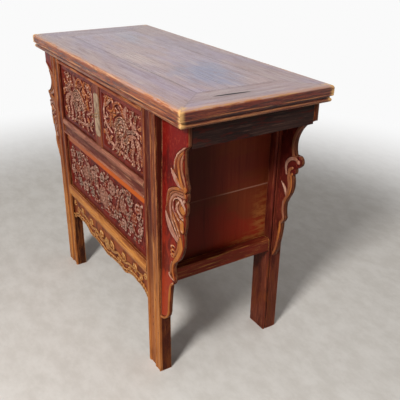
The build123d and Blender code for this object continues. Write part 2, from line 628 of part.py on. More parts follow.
# ---- joints are cut, then every sub-part is written
centre_post = fitted(centre_post_blank, [lock_eye])
lock_plate = fitted(lock_plate_blank, [lock_eye])
front_lower_rail = fitted(front_lower_blank, [carved_panel, apron, carcase_floor])
front_mid_rail = fitted(front_mid_blank, [carved_panel, centre_post, pivot_sockets])
front_top_rail = fitted(front_top_blank, [centre_post, pivot_sockets])
side_lower_rail = fitted(side_lower_blank, [side_low_board, carcase_floor])
side_upper_rail = fitted(side_upper_blank, [side_high_board])
back_lower_rail = fitted(back_lower_blank, [back_low_board, carcase_floor])
back_upper_rail = fitted(back_upper_blank, [back_high_board])
front_leg_members = [front_lower_rail, front_mid_rail, front_top_rail, carved_panel, side_lower_rail,
                     side_upper_rail, side_low_board, side_high_board]
leg_front_right = fitted(leg_front_blank, front_leg_members + [wing_front_right])
leg_back_right = fitted(leg_back_blank, [
    back_lower_rail, back_upper_rail, back_low_board, back_high_board, side_lower_rail, side_upper_rail,
    side_low_board, side_high_board, wing_back_right])
leg_front_left = mirrored(fitted(leg_front_blank, front_leg_members + [mirrored(wing_front_left)]))
leg_back_left = mirrored(leg_back_right)

long_side = TOP_L / 2
short_side = TOP_D / 2
top_rail_front = fitted(top_member((0, -1, 0), short_side, long_side),
                        [top_panel, leg_front_right, leg_front_left])
top_rail_back = fitted(top_member((0, 1, 0), short_side, long_side),
                       [top_panel, leg_back_right, leg_back_left])
top_end_right = fitted(top_member((1, 0, 0), long_side, short_side), [top_panel])
top_end_left = mirrored(top_end_right)

save(top_panel, "top_panel")
save(top_rail_front, "top_rail_front")
save(top_rail_back, "top_rail_back")
save(top_end_left, "top_end_left")
save(top_end_right, "top_end_right")
save(leg_front_left, "leg_front_left")
save(leg_front_right, "leg_front_right")
save(leg_back_left, "leg_back_left")
save(leg_back_right, "leg_back_right")
save(front_top_rail, "front_top_rail")
save(front_mid_rail, "front_mid_rail")
save(front_lower_rail, "front_lower_rail")
save(centre_post, "centre_post")
save(lock_plate, "lock_plate")
save(lock_eye, "lock_eye")
save(door_left, "door_left")
save(door_right, "door_right")
save(carved_panel, "carved_panel")
save(apron, "apron")
save(side_lower_rail, "side_lower_rail_right")
save(mirrored(side_lower_rail), "side_lower_rail_left")
save(side_upper_rail, "side_upper_rail_right")
save(mirrored(side_upper_rail), "side_upper_rail_left")
save(side_low_board, "side_lower_board_right")
save(mirrored(side_low_board), "side_lower_board_left")
save(side_high_board, "side_upper_board_right")
save(mirrored(side_high_board), "side_upper_board_left")
save(back_lower_rail, "back_lower_rail")
save(back_upper_rail, "back_upper_rail")
save(back_low_board, "back_lower_board")
save(back_high_board, "back_upper_board")
save(carcase_floor, "carcase_floor")
save(wing_front_left, "wing_front_left")
save(wing_front_right, "wing_front_right")
save(wing_back_left, "wing_back_left")
save(wing_back_right, "wing_back_right")
save(end_board_right, "end_board_right")
save(mirrored(end_board_right), "end_board_left")
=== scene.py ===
import math
from functools import partial, reduce
import bpy
import numpy as np
from mathutils import Matrix, Vector


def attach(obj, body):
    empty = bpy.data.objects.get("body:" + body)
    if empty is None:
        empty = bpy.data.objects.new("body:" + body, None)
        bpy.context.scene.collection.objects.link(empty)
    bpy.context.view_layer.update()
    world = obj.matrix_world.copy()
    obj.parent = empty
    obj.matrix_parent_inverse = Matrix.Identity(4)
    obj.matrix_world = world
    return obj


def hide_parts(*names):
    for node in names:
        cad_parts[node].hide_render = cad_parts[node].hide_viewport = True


# An old altar table in worn red-brown lacquer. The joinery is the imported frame. The carved pieces
# are made here as closed shells whose front follows a height field, in the frame's own place.

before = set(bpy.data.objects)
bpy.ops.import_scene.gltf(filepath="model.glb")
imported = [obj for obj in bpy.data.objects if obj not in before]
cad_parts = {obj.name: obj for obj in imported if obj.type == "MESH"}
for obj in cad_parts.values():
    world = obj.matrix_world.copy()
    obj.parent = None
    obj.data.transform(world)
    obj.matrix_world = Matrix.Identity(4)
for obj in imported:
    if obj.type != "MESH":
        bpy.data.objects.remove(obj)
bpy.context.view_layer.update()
MM = 0.001
PAPER = "#FAFAFA"


# ---------------------------------------------------------------- camera, lamps and floor
def put(name, data):
    """A new object in the scene for a lens, a lamp or a mesh."""
    made = bpy.data.objects.new(name, data)
    bpy.context.scene.collection.objects.link(made)
    return made


def place_camera():
    """A camera at a standing eye's place: its axes come from azimuth, elevation and a slight roll,
    and its focal length from a share of its sensor's width."""
    azimuth, elevation, roll = (math.radians(angle) for angle in (57.972, 26.118, 0.723))
    place, sensor_mm, focal_share = (1.56616, -0.82446, 1.22786), 36.0, 574.5 / 400
    back = Vector((math.sin(azimuth) * math.cos(elevation), -math.cos(azimuth) * math.cos(elevation),
                   math.sin(elevation)))
    level = Vector((math.cos(azimuth), math.sin(azimuth), 0))
    upward = back.cross(level)
    right = level * math.cos(roll) + upward * math.sin(roll)
    up = upward * math.cos(roll) - level * math.sin(roll)
    turned = Matrix((right, up, back)).transposed().to_4x4()
    turned.translation = place
    lens = bpy.data.cameras.new("camera")
    lens.sensor_fit = "HORIZONTAL"
    lens.sensor_width = sensor_mm
    lens.lens = sensor_mm * focal_share
    eye = put("camera", lens)
    eye.matrix_world = turned
    bpy.context.scene.camera = eye


def softbox(name, towards, distance, size, watts):
    """A square lamp that lies at a distance along a direction and faces the table's middle."""
    centre = Vector((0, 0, 0.45))
    direction = Vector(towards).normalized()
    light = bpy.data.lights.new(name, "AREA")
    light.shape = "SQUARE"
    light.size = size
    light.energy = watts
    lamp = put(name, light)
    lamp.matrix_world = direction.to_track_quat("Z", "Y").to_matrix().to_4x4()
    lamp.matrix_world.translation = centre + direction * distance


def linear(code):
    """An sRGB hex colour as linear red, green, blue and a full alpha."""
    parts = (int(code[i:i + 2], 16) / 255 for i in (1, 3, 5))
    return tuple(p / 12.92 if p <= 0.04045 else ((p + 0.055) / 1.055) ** 2.4 for p in parts) + (1.0,)


# Words for the nodes that are used most: the node, its settings, the inputs that its values go to in
# turn, and the output that is handed on. mix is the colour between two colours, by a factor. span
# carries a value smoothly from one range to another, by default to 0 and 1, and holds it at the ends.
# size is a value without its sign, so that both sides of the table are finished alike.
WORDS = {"mix": ("Mix", {"data_type": "RGBA"}, (0, 6, 7), 2),
         "span": ("MapRange", {"interpolation_type": "SMOOTHSTEP"}, (0, 1, 2, 3, 4), 0)}
MATHS = {"times": "MULTIPLY", "plus": "ADD", "less": "SUBTRACT", "most": "MAXIMUM", "size": "ABSOLUTE"}
WORDS |= {word: ("Math", {"operation": operation}, (0, 1), 0) for word, operation in MATHS.items()}


def add(tree, kind, *values, **settings):
    """Adds one node with its settings, and gives its inputs a link, a number or a hex colour each. A
    kind from WORDS takes its values in turn and returns its output. Any other kind takes one
    dictionary of sockets, in which a node stands for its first output, and returns the node."""
    kind, usual, inputs, output = WORDS.get(kind, (kind, {}, None, None))
    made = tree.nodes.new("ShaderNode" + kind)
    for name, value in (usual | settings).items():
        setattr(made, name, value)
    sockets = dict(zip(inputs, values)) if inputs else values[0] if values else {}
    for key, value in sockets.items():
        if isinstance(value, bpy.types.Node):
            value = value.outputs[0]
        if isinstance(value, bpy.types.NodeSocket):
            tree.links.new(value, made.inputs[key])
        else:
            made.inputs[key].default_value = linear(value) if isinstance(value, str) else value
    return made if output is None else made.outputs[output]


def adder(owner):
    """Empties the node tree of a world or a material, and returns add for that tree."""
    owner.use_nodes = True
    owner.node_tree.nodes.clear()
    return partial(add, owner.node_tree)


def dress_world():
    """Even studio air: a quiet grey light from every side, which the eye and reflections see as a
    white paper backdrop."""
    world = bpy.data.worlds.new("studio")
    bpy.context.scene.world = world
    node = adder(world)
    air = node("Background", {"Color": "#E6E6E8", "Strength": 0.21})
    paper = node("Background", {"Color": PAPER, "Strength": 1.0})
    node("OutputWorld", {"Surface": node("MixShader", {0: seen_ray(node), 1: air, 2: paper})})


def seen_ray(node):
    """1 for what the eye sees, straight or in a reflection or through glass."""
    path = node("LightPath").outputs
    rays = (path[f"Is {kind} Ray"] for kind in ("Camera", "Glossy", "Transmission"))
    return reduce(partial(node, "most"), rays)


def lay_floor():
    """A pale matt studio floor, wide enough to fill every view. It carries the table's shadow, and
    away from the table the eye and its reflections see it as a white paper backdrop."""
    reach, fade = 40.0, (1.05, 2.4)
    mesh = bpy.data.meshes.new("floor")
    mesh.from_pydata([(-reach, -reach, 0), (reach, -reach, 0), (reach, reach, 0), (-reach, reach, 0)], [],
                     [(0, 1, 2, 3)])
    floor = put("floor", mesh)
    paint = bpy.data.materials.new("pale_floor_paint")
    node = adder(paint)
    place = node("TexCoord").outputs["Object"]
    far = node("VectorMath", {0: place}, operation="LENGTH").outputs[1]
    mottle = cloud(node, place, 90, 60, "X", 5.0, 0.7)
    tone = node("mix", node("span", mottle, 0.3, 0.7), "#BEB8B0", "#CBC6BF")
    coat = node("BsdfPrincipled", {"Base Color": tone, "Roughness": 0.9})
    white = node("Emission", {"Color": PAPER, "Strength": 1.0})
    away = node("times", seen_ray(node), node("span", far, *fade))
    node("OutputMaterial", {"Surface": node("MixShader", {0: away, 1: coat, 2: white})})
    mesh.materials.append(paint)


# ---------------------------------------------------------------- finishes
def start(name):
    """An empty material, add for its nodes, its object coordinates, and those split into x, y, z."""
    material = bpy.data.materials.new(name)
    node = adder(material)
    place = node("TexCoord").outputs["Object"]
    return material, node, place, node("SeparateXYZ", {0: place}).outputs


def cloud(node, place, length_mm, across_mm, along="X", detail=4.0, roughness=0.55, distortion=0.0):
    """Noise whose features are length_mm long along the grain and across_mm wide over it."""
    per_metre = [1000 / (length_mm if axis == along else across_mm) for axis in "XYZ"]
    scaled = node("Mapping", {"Vector": place, "Scale": per_metre})
    return node("TexNoise", {"Vector": scaled, "Scale": 1.0, "Detail": detail, "Roughness": roughness,
                             "Distortion": distortion}).outputs[0]


def patch(node, place, centre_mm, radii_mm, turn, ragged=0.0):
    """1 at the middle of an oval patch and 0 outside it, fading over a share of its radius. A ragged
    patch has its edge broken up by noise as well."""
    laid = node("Mapping", {"Vector": place, "Location": [c * MM for c in centre_mm],
                            "Rotation": (0, 0, math.radians(turn)), "Scale": [r * MM for r in radii_mm]},
                vector_type="TEXTURE")
    far = node("VectorMath", {0: laid}, operation="LENGTH").outputs[1]
    if ragged:
        far = node("plus", far, node("less", cloud(node, place, 70, 40, "X", 3.0), 0.5))
    return node("span", far, 1.0, 1.0 - max(ragged, 0.3))


def closeness(node, reach_mm, inside=False):
    """How little air lies within a reach: 1 in corners and grooves and 0 in the open. Seen from
    inside the wood it is 1 on arrises and beads and 0 on flats."""
    air = node("AmbientOcclusion", {"Distance": reach_mm * MM}, inside=inside, only_local=inside, samples=6)
    return node("less", 1.0, air.outputs["AO"])


def where(node, *limits):
    """1 where all of the limits hold, and less at their ends: the product of masks, each of which is
    one value, or a value and the levels that span takes."""
    masks = [node("span", *limit) if isinstance(limit, tuple) else limit for limit in limits]
    return reduce(partial(node, "times"), masks)


def coats(node, body, *layers):
    """Lays coats over a body colour in turn. A layer is its mask and its colour, where the mask is
    one value, or a value, the two levels between which the coat comes in, and how far it covers."""
    for *mask, colour in layers:
        cover = mask[0] if len(mask) == 1 else node("span", *mask[:3], 0.0, *mask[3:])
        body = node("mix", cover, body, colour)
    return body


def finish(node, colour, roughness, height, relief_mm, coat=0.01, coat_roughness=0.25, level=0.05):
    """The lacquer's shader: its colour, its roughness, and its fine relief in millimetres."""
    bump = node("Bump", {"Strength": 0.6, "Distance": relief_mm * MM, "Height": height})
    shader = node("BsdfPrincipled", {"Base Color": colour, "Roughness": roughness, "Normal": bump,
                                     "Coat Weight": coat, "Coat Roughness": coat_roughness, "IOR": 1.5,
                                     "Specular IOR Level": level})
    node("OutputMaterial", {"Surface": shader})


def rubbed_lacquer(name, along, hollow, proud, foot_hollow=None, foot_proud=None, front=None,
                   inner="#2C120D", inner_foot=None, wear=0.5, worn="#B87C4C", gloss=0.38, turned=0.5):
    """Thin red-brown lacquer brushed on hardwood and rubbed by hands and cloths: it lies dark in
    flutes, is streaked along the grain, wears to warm tan on beads and arrises, and has painted
    shade in its corners and grooves.
    front gives the depths, in metres, between which a moulded face goes from proud to hollow, and
    turned how many millimetres further back the piece takes its darker inner colour. The foot
    colours take over towards the floor."""
    material, node, place, axis = start(name)
    low = node("span", axis[2], 0.52, 0.13)
    blotch = cloud(node, place, 170, 40, along, 3.0)
    streak = cloud(node, place, 120, 2.6, along, 6.0, 0.7)
    fleck = cloud(node, place, 26, 5, along, 5.0, 0.7)
    patchy = cloud(node, place, 75, 14, along, 4.0, 0.65)
    dark, light = hollow, proud
    if foot_hollow:
        dark, light = node("mix", low, dark, foot_hollow), node("mix", low, light, foot_proud)
    if front:
        stand = node("plus", node("span", axis[1], front[1], front[0]),
                     node("span", blotch, 0.38, 0.62, -0.3, 0.15))
    else:
        stand = node("span", blotch, 0.4, 0.6)
    shade = node("mix", low, "#4A160E", "#6E3818")
    pale = where(node, (streak, 0.51, 0.62, 0.0, 0.75), (patchy, 0.42, 0.58))
    body = coats(node, dark, (stand, light), (streak, 0.49, 0.38, 0.55, dark),
                 (patchy, 0.48, 0.38, 0.5, shade), (pale, worn))
    if front:
        side = node("mix", low, inner, inner_foot) if inner_foot else inner
        side = coats(node, side, (patchy, 0.44, 0.58, 0.5, shade), (streak, 0.54, 0.62, 0.25, light))
        behind = [front[1] + (turned + further) * MM for further in (0, 1.7)]
        body = coats(node, body, (axis[1], *behind, side))
    threshold = 0.60 - 0.26 * wear
    worn_off = where(node, (closeness(node, 4, True), 0.24, 0.5), (fleck, threshold, threshold + 0.08))
    chip = where(node, (cloud(node, place, 34, 9, along, 5.0, 0.75), 0.60, 0.64), low)
    # Painted shade: darker where little air lies within a short reach, in corners and grooves.
    painted_crevice_shade = node("span", closeness(node, 9), 0.35, 0.9, 0.0, 0.55)
    body = coats(node, body, (worn_off, worn), (chip, "#5A3018"), (painted_crevice_shade, "#240C08"))
    rough = node("span", node("most", worn_off, painted_crevice_shade), 0.0, 1.0, gloss, gloss + 0.22)
    finish(node, body, rough, node("plus", streak, fleck), 0.4)
    return material


# The top in metres: its half sizes, its board's half sizes, and the levels between which the groove
# and the bead of its moulded face begin and end. TOP_MM is its height in millimetres.
TOP_HALF, BOARD_HALF = (0.525, 0.227), (0.4175, 0.1195)
GROOVE, BEAD = (0.8150, 0.8175, 0.8235, 0.8258), (0.8245, 0.8259, 0.8286, 0.8300)
TOP_MM = 852
# The bloom's patches, which are lacquer bloom and a painted reflection of the sky in one:
# middle and radii in millimetres, turn in degrees, colour and strength.
BLOOM_AND_SKY_REFLECTION = (((260, 5), (215, 125), -12, "#646888", 0.9), ((-330, 50), (230, 60), -8, "#7E8096", 0.6),
         ((0, -80), (210, 55), 6, "#A88C82", 0.85), ((-420, -10), (110, 150), 0, "#988492", 0.6),
         ((290, 165), (190, 50), 0, "#90726E", 0.8), ((-40, 120), (260, 60), 0, "#887482", 0.6),
         ((470, -60), (70, 170), 0, "#8C7470", 0.8), ((40, -190), (480, 34), 0, "#9E7E74", 0.7))


def top_bloom_and_sky_reflection(node, place, along):
    """The top's surface: dark lacquer under a lilac-grey bloom that is partly a painted reflection
    of the sky, bluer and warmer in patches, with brush and scratch lines along the grain. Returns
    colour and streaks."""
    blotch = cloud(node, place, 300, 90, along, 4.0, 0.6, 0.4)
    streak = cloud(node, place, 240, 3.4, along, 6.0, 0.7)
    grain = cloud(node, place, 110, 16, along, 6.0, 0.7, 0.5)
    body = node("mix", node("span", blotch, 0.40, 0.60), "#967876", "#8E7888")
    # Each patch is bloom and painted sky reflection in one.
    for middle, radii, turn, colour, strength in BLOOM_AND_SKY_REFLECTION:
        mask = patch(node, place, (*middle, TOP_MM), (*radii, 60), turn, 0.8)
        body = node("mix", node("times", mask, strength), body, colour)
    body = coats(node, body, (grain, 0.51, 0.61, 0.5, "#6E443E"), (grain, 0.46, 0.38, 0.4, "#B09C96"),
                 (streak, 0.53, 0.63, 0.35, "#B4A6A8"), (streak, 0.48, 0.37, 0.6, "#56383A"))
    return body, streak


def top_lacquer():
    """The floating board of the top, hazed lacquer with a soft sheen and a painted reflection of the sky,
    dirt along its open joint.
    """
    material, node, place, axis = start("hazed_top_lacquer_and_painted_sky")
    body, streak = top_bloom_and_sky_reflection(node, place, "X")
    joint = node("most", *(node("span", node("size", axis[i]), half - 0.0040, half - 0.0007)
                           for i, half in enumerate(BOARD_HALF)))
    front = -BOARD_HALF[1]
    body = coats(node, body, (node("times", joint, 0.4), "#4A3432"),
                 (axis[1], front + 0.0045, front + 0.0007, 0.5, "#3A2624"))
    finish(node, body, node("span", streak, 0.38, 0.62, 0.24, 0.42), streak, 0.35, 0.2, 0.18, 0.28)
    return material


def edge_lacquer(name, along, fringe_in, lip, tan, face_dark, face_light, face_rubbed, bead_tone, crack=None):
    """The moulded frame of the top: the top's bloom and painted sky reflection above, dark red
    lacquer on its face, painted shade in its groove and hollows, and an arris that knocks and
    cloths have worn in ragged patches to orange-brown and tan.
    fringe_in is how far in from the face the wear begins, and lip how high on the face, in metres.
    crack is a dark crack's middle, radii and turn."""
    material, node, place, axis = start(name)
    body, _ = top_bloom_and_sky_reflection(node, place, along)
    wide, deep, height = node("size", axis[0]), node("size", axis[1]), axis[2]
    across, rim = (deep, TOP_HALF[1]) if along == "X" else (wide, TOP_HALF[0])
    chip = cloud(node, place, 60, 7, along, 6.0, 0.72)
    nick = cloud(node, place, 90, 2.6, along, 8.0, 0.75)
    patchy = cloud(node, place, 130, 30, along, 4.0, 0.6)
    shift = node("plus", node("span", chip, 0.38, 0.62, -0.005, 0.005),
                 node("span", nick, 0.38, 0.62, -0.003, 0.003))
    ragged = node("plus", across, shift)
    mitre = node("size", node("less", node("less", wide, deep), TOP_HALF[0] - TOP_HALF[1]))
    body = coats(node, body, (ragged, rim - 0.022, rim - 0.010, 0.75, "#A8806E"),
                 (mitre, 0.0016, 0.0004, 0.7, "#4A3430"),
                 (across, rim - 0.104, rim - 0.1075, 0.35, "#4A3432"))
    split = patch(node, place, *crack) if crack else 0.0
    rust = "#8E4A28"
    reach = rim - fringe_in
    fringe = where(node, (ragged, reach, reach + 0.003), (patchy, 0.38, 0.54, 0.3, 1.0))
    body = coats(node, body, (split, "#18141A"), (fringe, coats(node, rust, (nick, 0.44, 0.56, tan))))

    # the moulded face, from its lip over the bead and the groove down to its foot
    face = coats(node, face_dark, (chip, 0.40, 0.58, face_light), (nick, 0.50, 0.60, 0.75, face_rubbed))
    high = node("less", height, node("times", shift, 0.6))
    band = where(node, (high, lip, lip + 0.003), (patchy, 0.40, 0.56, 0.2, 1.0))
    # Painted shade down in the groove, broken up by the nicks.
    dirt = where(node, (height, *GROOVE[:1:-1]), (height, *GROOVE[:2]), (nick, 0.38, 0.60, 0.75, 0.15))
    face = coats(node, face, (band, coats(node, rust, (nick, 0.46, 0.6, tan))), (dirt, "#34110C"),
                 (height, *GROOVE[1::-1], coats(node, "#5E2614", (nick, 0.46, 0.60, "#A06C40"))))
    bead = where(node, (height, *BEAD[:1:-1]), (height, *BEAD[:2]), (nick, 0.46, 0.57))
    corner = node("most", node("span", height, 0.8495, 0.8440),
                  node("span", across, rim - 0.030, rim - 0.012))
    knocked = where(node, (mitre, 0.016, 0.002), corner, (chip, 0.36, 0.48))
    # The last coat is painted shade in the moulding's corners and hollows.
    body = coats(node, body, (height, 0.8485, 0.8460, face), (bead, bead_tone), (knocked, "#CC9C60"),
                 (closeness(node, 8), 0.45, 0.95, 0.6, "#1E0B09"))
    rough = node("most", node("span", fringe, 0.0, 1.0, 0.28, 0.5), split)
    finish(node, body, rough, node("plus", nick, chip), 1.6, 0.12, 0.2, 0.22)
    return material


SEAM = 0.5255  # where two side boards meet, in metres


def side_lacquer():
    """Side boards: brushed red-brown lacquer, rubbed through to pale wood in the low corner by the
    back leg and along the rail, with a pale line where the boards meet. Painted shade darkens the
    upper part, as shade under the top, the front part, as the front wing's shadow, and the corners."""
    material, node, place, axis = start("side_board_lacquer")
    depth, height = axis[1], axis[2]
    blotch = cloud(node, place, 240, 90, "Y", 4.0, 0.6, 0.3)
    brush = cloud(node, place, 160, 7, "Z", 5.0, 0.6)
    scuff = cloud(node, place, 60, 12, "Y", 6.0, 0.75)
    post = where(node, (depth, 0.100, 0.150), (height, 0.56, 0.40))
    rail = where(node, (height, 0.385, 0.352), (depth, 0.0, 0.1))
    rubbed = where(node, node("most", post, rail), (scuff, 0.42, 0.56), 0.8)
    seam = where(node, (node("size", node("less", height, SEAM)), 0.0026, 0.0012),
                 (depth, -0.03, 0.05, 0.15, 1.0), (blotch, 0.36, 0.5))
    # Painted shade: browner and darker higher up, under the top; much darker towards the front, as the front
    # wing's shadow, where the pale seam line is faded too; and darker in the corners.
    body = coats(node, "#8A2814", (height, 0.36, 0.60, "#6A281A"), (blotch, 0.44, 0.60, 0.7, "#6A3016"),
                 (brush, 0.5, 0.72, 0.25, "#864228"), (brush, 0.44, 0.3, 0.35, "#33100B"),
                 (rubbed, "#9A5E30"), (depth, 0.045, -0.06, 0.65, "#240C09"), (seam, "#A5705C"),
                 (closeness(node, 26), 0.35, 0.9, 0.7, "#190908"))
    finish(node, body, node("span", brush, 0.3, 0.7, 0.34, 0.48), brush, 0.2)
    return material


def carved_lacquer(name, ground, tones, depth, ridge_wear_and_highlight, rub=1.0, painted_light_margin=None, low_ground=None, root=False):
    """Lacquered carving in soft wood: red in the ground and brown on the slopes, with painted shade
    in the cuts and crevices, and ridges rubbed to a pale tan that is wear and a painted highlight in
    one. The piece's tint picks each motif's tone, its ridge value, height less the mean height round
    it, says where that wear and highlight and the painted shade in the cuts go, and depth is how far
    the ground lies behind the foremost points, in millimetres. rub weakens the paleness of ridges,
    margin is the colour of the band over the carving, a painted light on that upward-facing band,
    low_ground takes over towards the floor, and root draws a worn line down a wing's joint with its
    leg."""
    material, node, place, axis = start(name)
    marks = (node("Attribute", attribute_name=mark) for mark in ("tint", "ridge", "sunk"))
    tint, ridge, sunk = (mark.outputs["Fac"] for mark in marks)
    fleck = cloud(node, place, 14, 5, "Z", 5.0, 0.7)
    blotch = cloud(node, place, 90, 40, "Z", 3.0, 0.6)
    field = coats(node, ground, (axis[2], 0.62, 0.25, low_ground or ground),
                  (blotch, 0.53, 0.40, 0.65, "#360C0A"), (fleck, 0.54, 0.64, 0.35, "#A0442C"))
    wheel = node("ValToRGB", {0: node("plus", tint, node("span", blotch, 0.3, 0.7, -0.12, 0.12))})
    stops = wheel.color_ramp.elements
    while len(stops) < len(tones):
        stops.new(0.5)
    for i, tone in enumerate(tones):
        stops[i].position = i / (len(tones) - 1)
        stops[i].color = linear(tone)
    proud = node("span", sunk, 0.9 * depth, 0.15 * depth)
    motif = where(node, (proud, 0.0, 0.5), (tint, 0.02, 0.05))
    # Painted shade in the cuts; the pale ridge colour is wear and a painted highlight in one.
    cut = node("span", ridge, -0.1, -1.3)
    rubbed = where(node, (ridge, 0.7, 1.6, 0.0, rub), (fleck, 0.44, 0.56, 0.15, 1.0), motif)
    body = coats(node, field, (motif, wheel.outputs[0]), (node("times", cut, 0.85), "#34100B"),
                 (rubbed, ridge_wear_and_highlight))
    # Painted light: the band along the panel's top edge faces up and is painted lighter and more orange, most
    # to the right.
    if painted_light_margin:
        band = coats(node, "#8C4A2A", (axis[0], -0.2, 0.02, painted_light_margin))
        body = coats(node, body, (axis[2], 0.5235, 0.5265, band))
    if root:
        seam = where(node, (node("size", axis[0]), 0.3840, 0.3832), (blotch, 0.4, 0.6, 0.4, 0.9))
        body = coats(node, body, (seam, "#9C6C58"))
    plain = coats(node, "#4A2417", (cloud(node, place, 130, 4, "Z", 5.0, 0.65), 0.42, 0.6, "#74442A"))
    # Painted shade in crevices.
    painted_crevice_shade = node("span", closeness(node, 5), 0.35, 0.9, 0.0, 0.7)
    body = coats(node, body, (sunk, depth + 0.6, depth + 2.4, plain), (painted_crevice_shade, "#1E0A08"))
    rough = node("span", node("most", painted_crevice_shade, cut), 0.0, 1.0, 0.32, 0.6)
    finish(node, body, rough, fleck, 0.4, 0.0, 0.25, 0.04)
    return material


def aged_brass():
    """Old sheet brass, hammered flat and dulled to khaki, with darker tarnish and rubbed edges."""
    material, node, place, _ = start("aged_brass")
    tarnish = cloud(node, place, 30, 12, "Z", 5.0, 0.65)
    dimple = cloud(node, place, 5, 5, "Z", 3.0)
    body = coats(node, "#6E4E38", (tarnish, 0.36, 0.62, "#AC8E6E"),
                 (closeness(node, 1.5, True), 0.4, 0.75, "#C8B48E"),
                 (closeness(node, 8), 0.4, 0.9, 0.7, "#2E1E14"))
    bump = node("Bump", {"Strength": 0.5, "Distance": 0.3 * MM, "Height": dimple})
    shader = node("BsdfPrincipled", {"Base Color": body, "Metallic": 0.6, "Normal": bump,
                                     "Roughness": node("span", tarnish, 0.3, 0.7, 0.6, 0.42)})
    node("OutputMaterial", {"Surface": shader})
    return material


def dry_wood(name, pale, dark):
    """Unfinished inside and back boards: dry, greyed softwood with a plain grain and no coat."""
    material, node, place, _ = start(name)
    grain = cloud(node, place, 220, 5, "X", 6.0, 0.6, 0.5)
    ring = cloud(node, place, 500, 28, "X", 3.0, 0.5, 1.2)
    # The last coat is painted shade in the corners.
    body = coats(node, dark, (ring, 0.35, 0.65, pale), (grain, 0.5, 0.34, 0.55, dark),
                 (closeness(node, 30), 0.35, 0.9, 0.6, "#1C120C"))
    finish(node, body, 0.75, grain, 0.6, 0.0)
    return material


# ---------------------------------------------------------------- shells and relief
def ridge_of(height):
    """A height field less the mean height of the square round each point, which reaches 4 steps each
    way: over 0 on ridges, under 0 in cuts."""
    mean, reach = height, 4
    for axis in (0, 1):
        padded = np.pad(mean, [(reach, reach) if axis == k else (0, 0) for k in (0, 1)], "edge")
        total = np.cumsum(padded, axis=axis)
        total = np.concatenate([np.zeros_like(total.take([0], axis)), total], axis=axis)
        count = mean.shape[axis]
        ahead = total.take(range(2 * reach + 1, 2 * reach + 1 + count), axis)
        mean = (ahead - total.take(range(count), axis)) / (2 * reach + 1)
    return height - mean


FAR_BEHIND = 9.0


def shell(name, rows, relief, plane, body, replaced, material):
    """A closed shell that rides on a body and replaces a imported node. rows has one ring of points
    per step along the piece, and each ring is closed; the first and last rings are closed by a fan
    about their middle. The relief gives the first points of each ring their tint and ridge value,
    and plane is the y of the piece's foremost points, from which each point's depth is measured.
    The fans' middle points are marked as lying far behind, where the wood is plain."""
    steps, around, _ = rows.shape
    points = rows.reshape(-1, 3)
    here = np.arange(steps * around).reshape(steps, around)
    beside = np.roll(here, -1, axis=1)
    quads = np.stack([here[:-1], beside[:-1], beside[1:], here[1:]], -1).reshape(-1, 4)
    first, last = len(points), len(points) + 1
    fan_first = np.stack([beside[0], here[0], np.full(around, first)], -1)
    fan_last = np.stack([here[-1], beside[-1], np.full(around, last)], -1)
    mesh = bpy.data.meshes.new(name)
    mesh.from_pydata(np.vstack([points, rows[[0, -1]].mean(1)]) * MM, [],
                     quads.tolist() + fan_first.tolist() + fan_last.tolist())
    mesh.update()
    marks = {"tint": relief.tint, "ridge": ridge_of(relief.height)} if relief else {}
    marks["sunk"] = rows[..., 1] - plane
    for label, values in marks.items():
        spread = np.zeros((steps, around), np.float32)
        spread[:, :values.shape[1]] = values
        mark = mesh.attributes.new(label, "FLOAT", "POINT")
        mark.data.foreach_set("value", np.append(spread.ravel(), np.full(2, FAR_BEHIND, np.float32)))
    mesh.polygons.foreach_set("use_smooth", np.ones(len(mesh.polygons), bool))
    made = put(name, mesh)
    if outward_volume(mesh) < 0:
        mesh.flip_normals()
    mesh.materials.append(material)
    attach(made, body)
    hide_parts(replaced)


def outward_volume(mesh):
    """Six times the signed volume: the sum over all triangles of one corner's product with the
    other two, which is over 0 where faces point outwards."""
    mesh.calc_loop_triangles()
    point = np.empty(len(mesh.vertices) * 3)
    mesh.vertices.foreach_get("co", point)
    corner = np.empty(len(mesh.loop_triangles) * 3, int)
    mesh.loop_triangles.foreach_get("vertices", corner)
    a, b, c = (point.reshape(-1, 3)[corner[i::3]] for i in range(3))
    return (a * np.cross(b, c)).sum()


def smooth(points, steps):
    """A smooth curve through a list of points: a Catmull-Rom spline, sampled evenly per span."""
    p = np.array(points, float)
    p = np.vstack([2 * p[0] - p[1], p, 2 * p[-1] - p[-2]])
    t = np.linspace(0, 1, steps, endpoint=False)[:, None]
    spans = [0.5 * (2 * p[i] + (p[i + 1] - p[i - 1]) * t
                    + (2 * p[i - 1] - 5 * p[i] + 4 * p[i + 1] - p[i + 2]) * t ** 2
                    + (3 * p[i] - p[i - 1] - 3 * p[i + 1] + p[i + 2]) * t ** 3)
             for i in range(1, len(p) - 2)]
    return np.vstack(spans + [p[-2:-1]])


def curl(centre, outer, inner, start, turns):
    """A spiral from an outer to an inner radius, starting at an angle in degrees; turns is signed.
    The angle grows evenly and the radius goes with the 0.8th power of the share of the way."""
    t = np.linspace(0, 1, 56)
    angle = math.radians(start) + 2 * math.pi * turns * t
    radius = outer + (inner - outer) * t ** 0.8
    return np.stack([centre[0] + radius * np.cos(angle), centre[1] + radius * np.sin(angle)], -1)


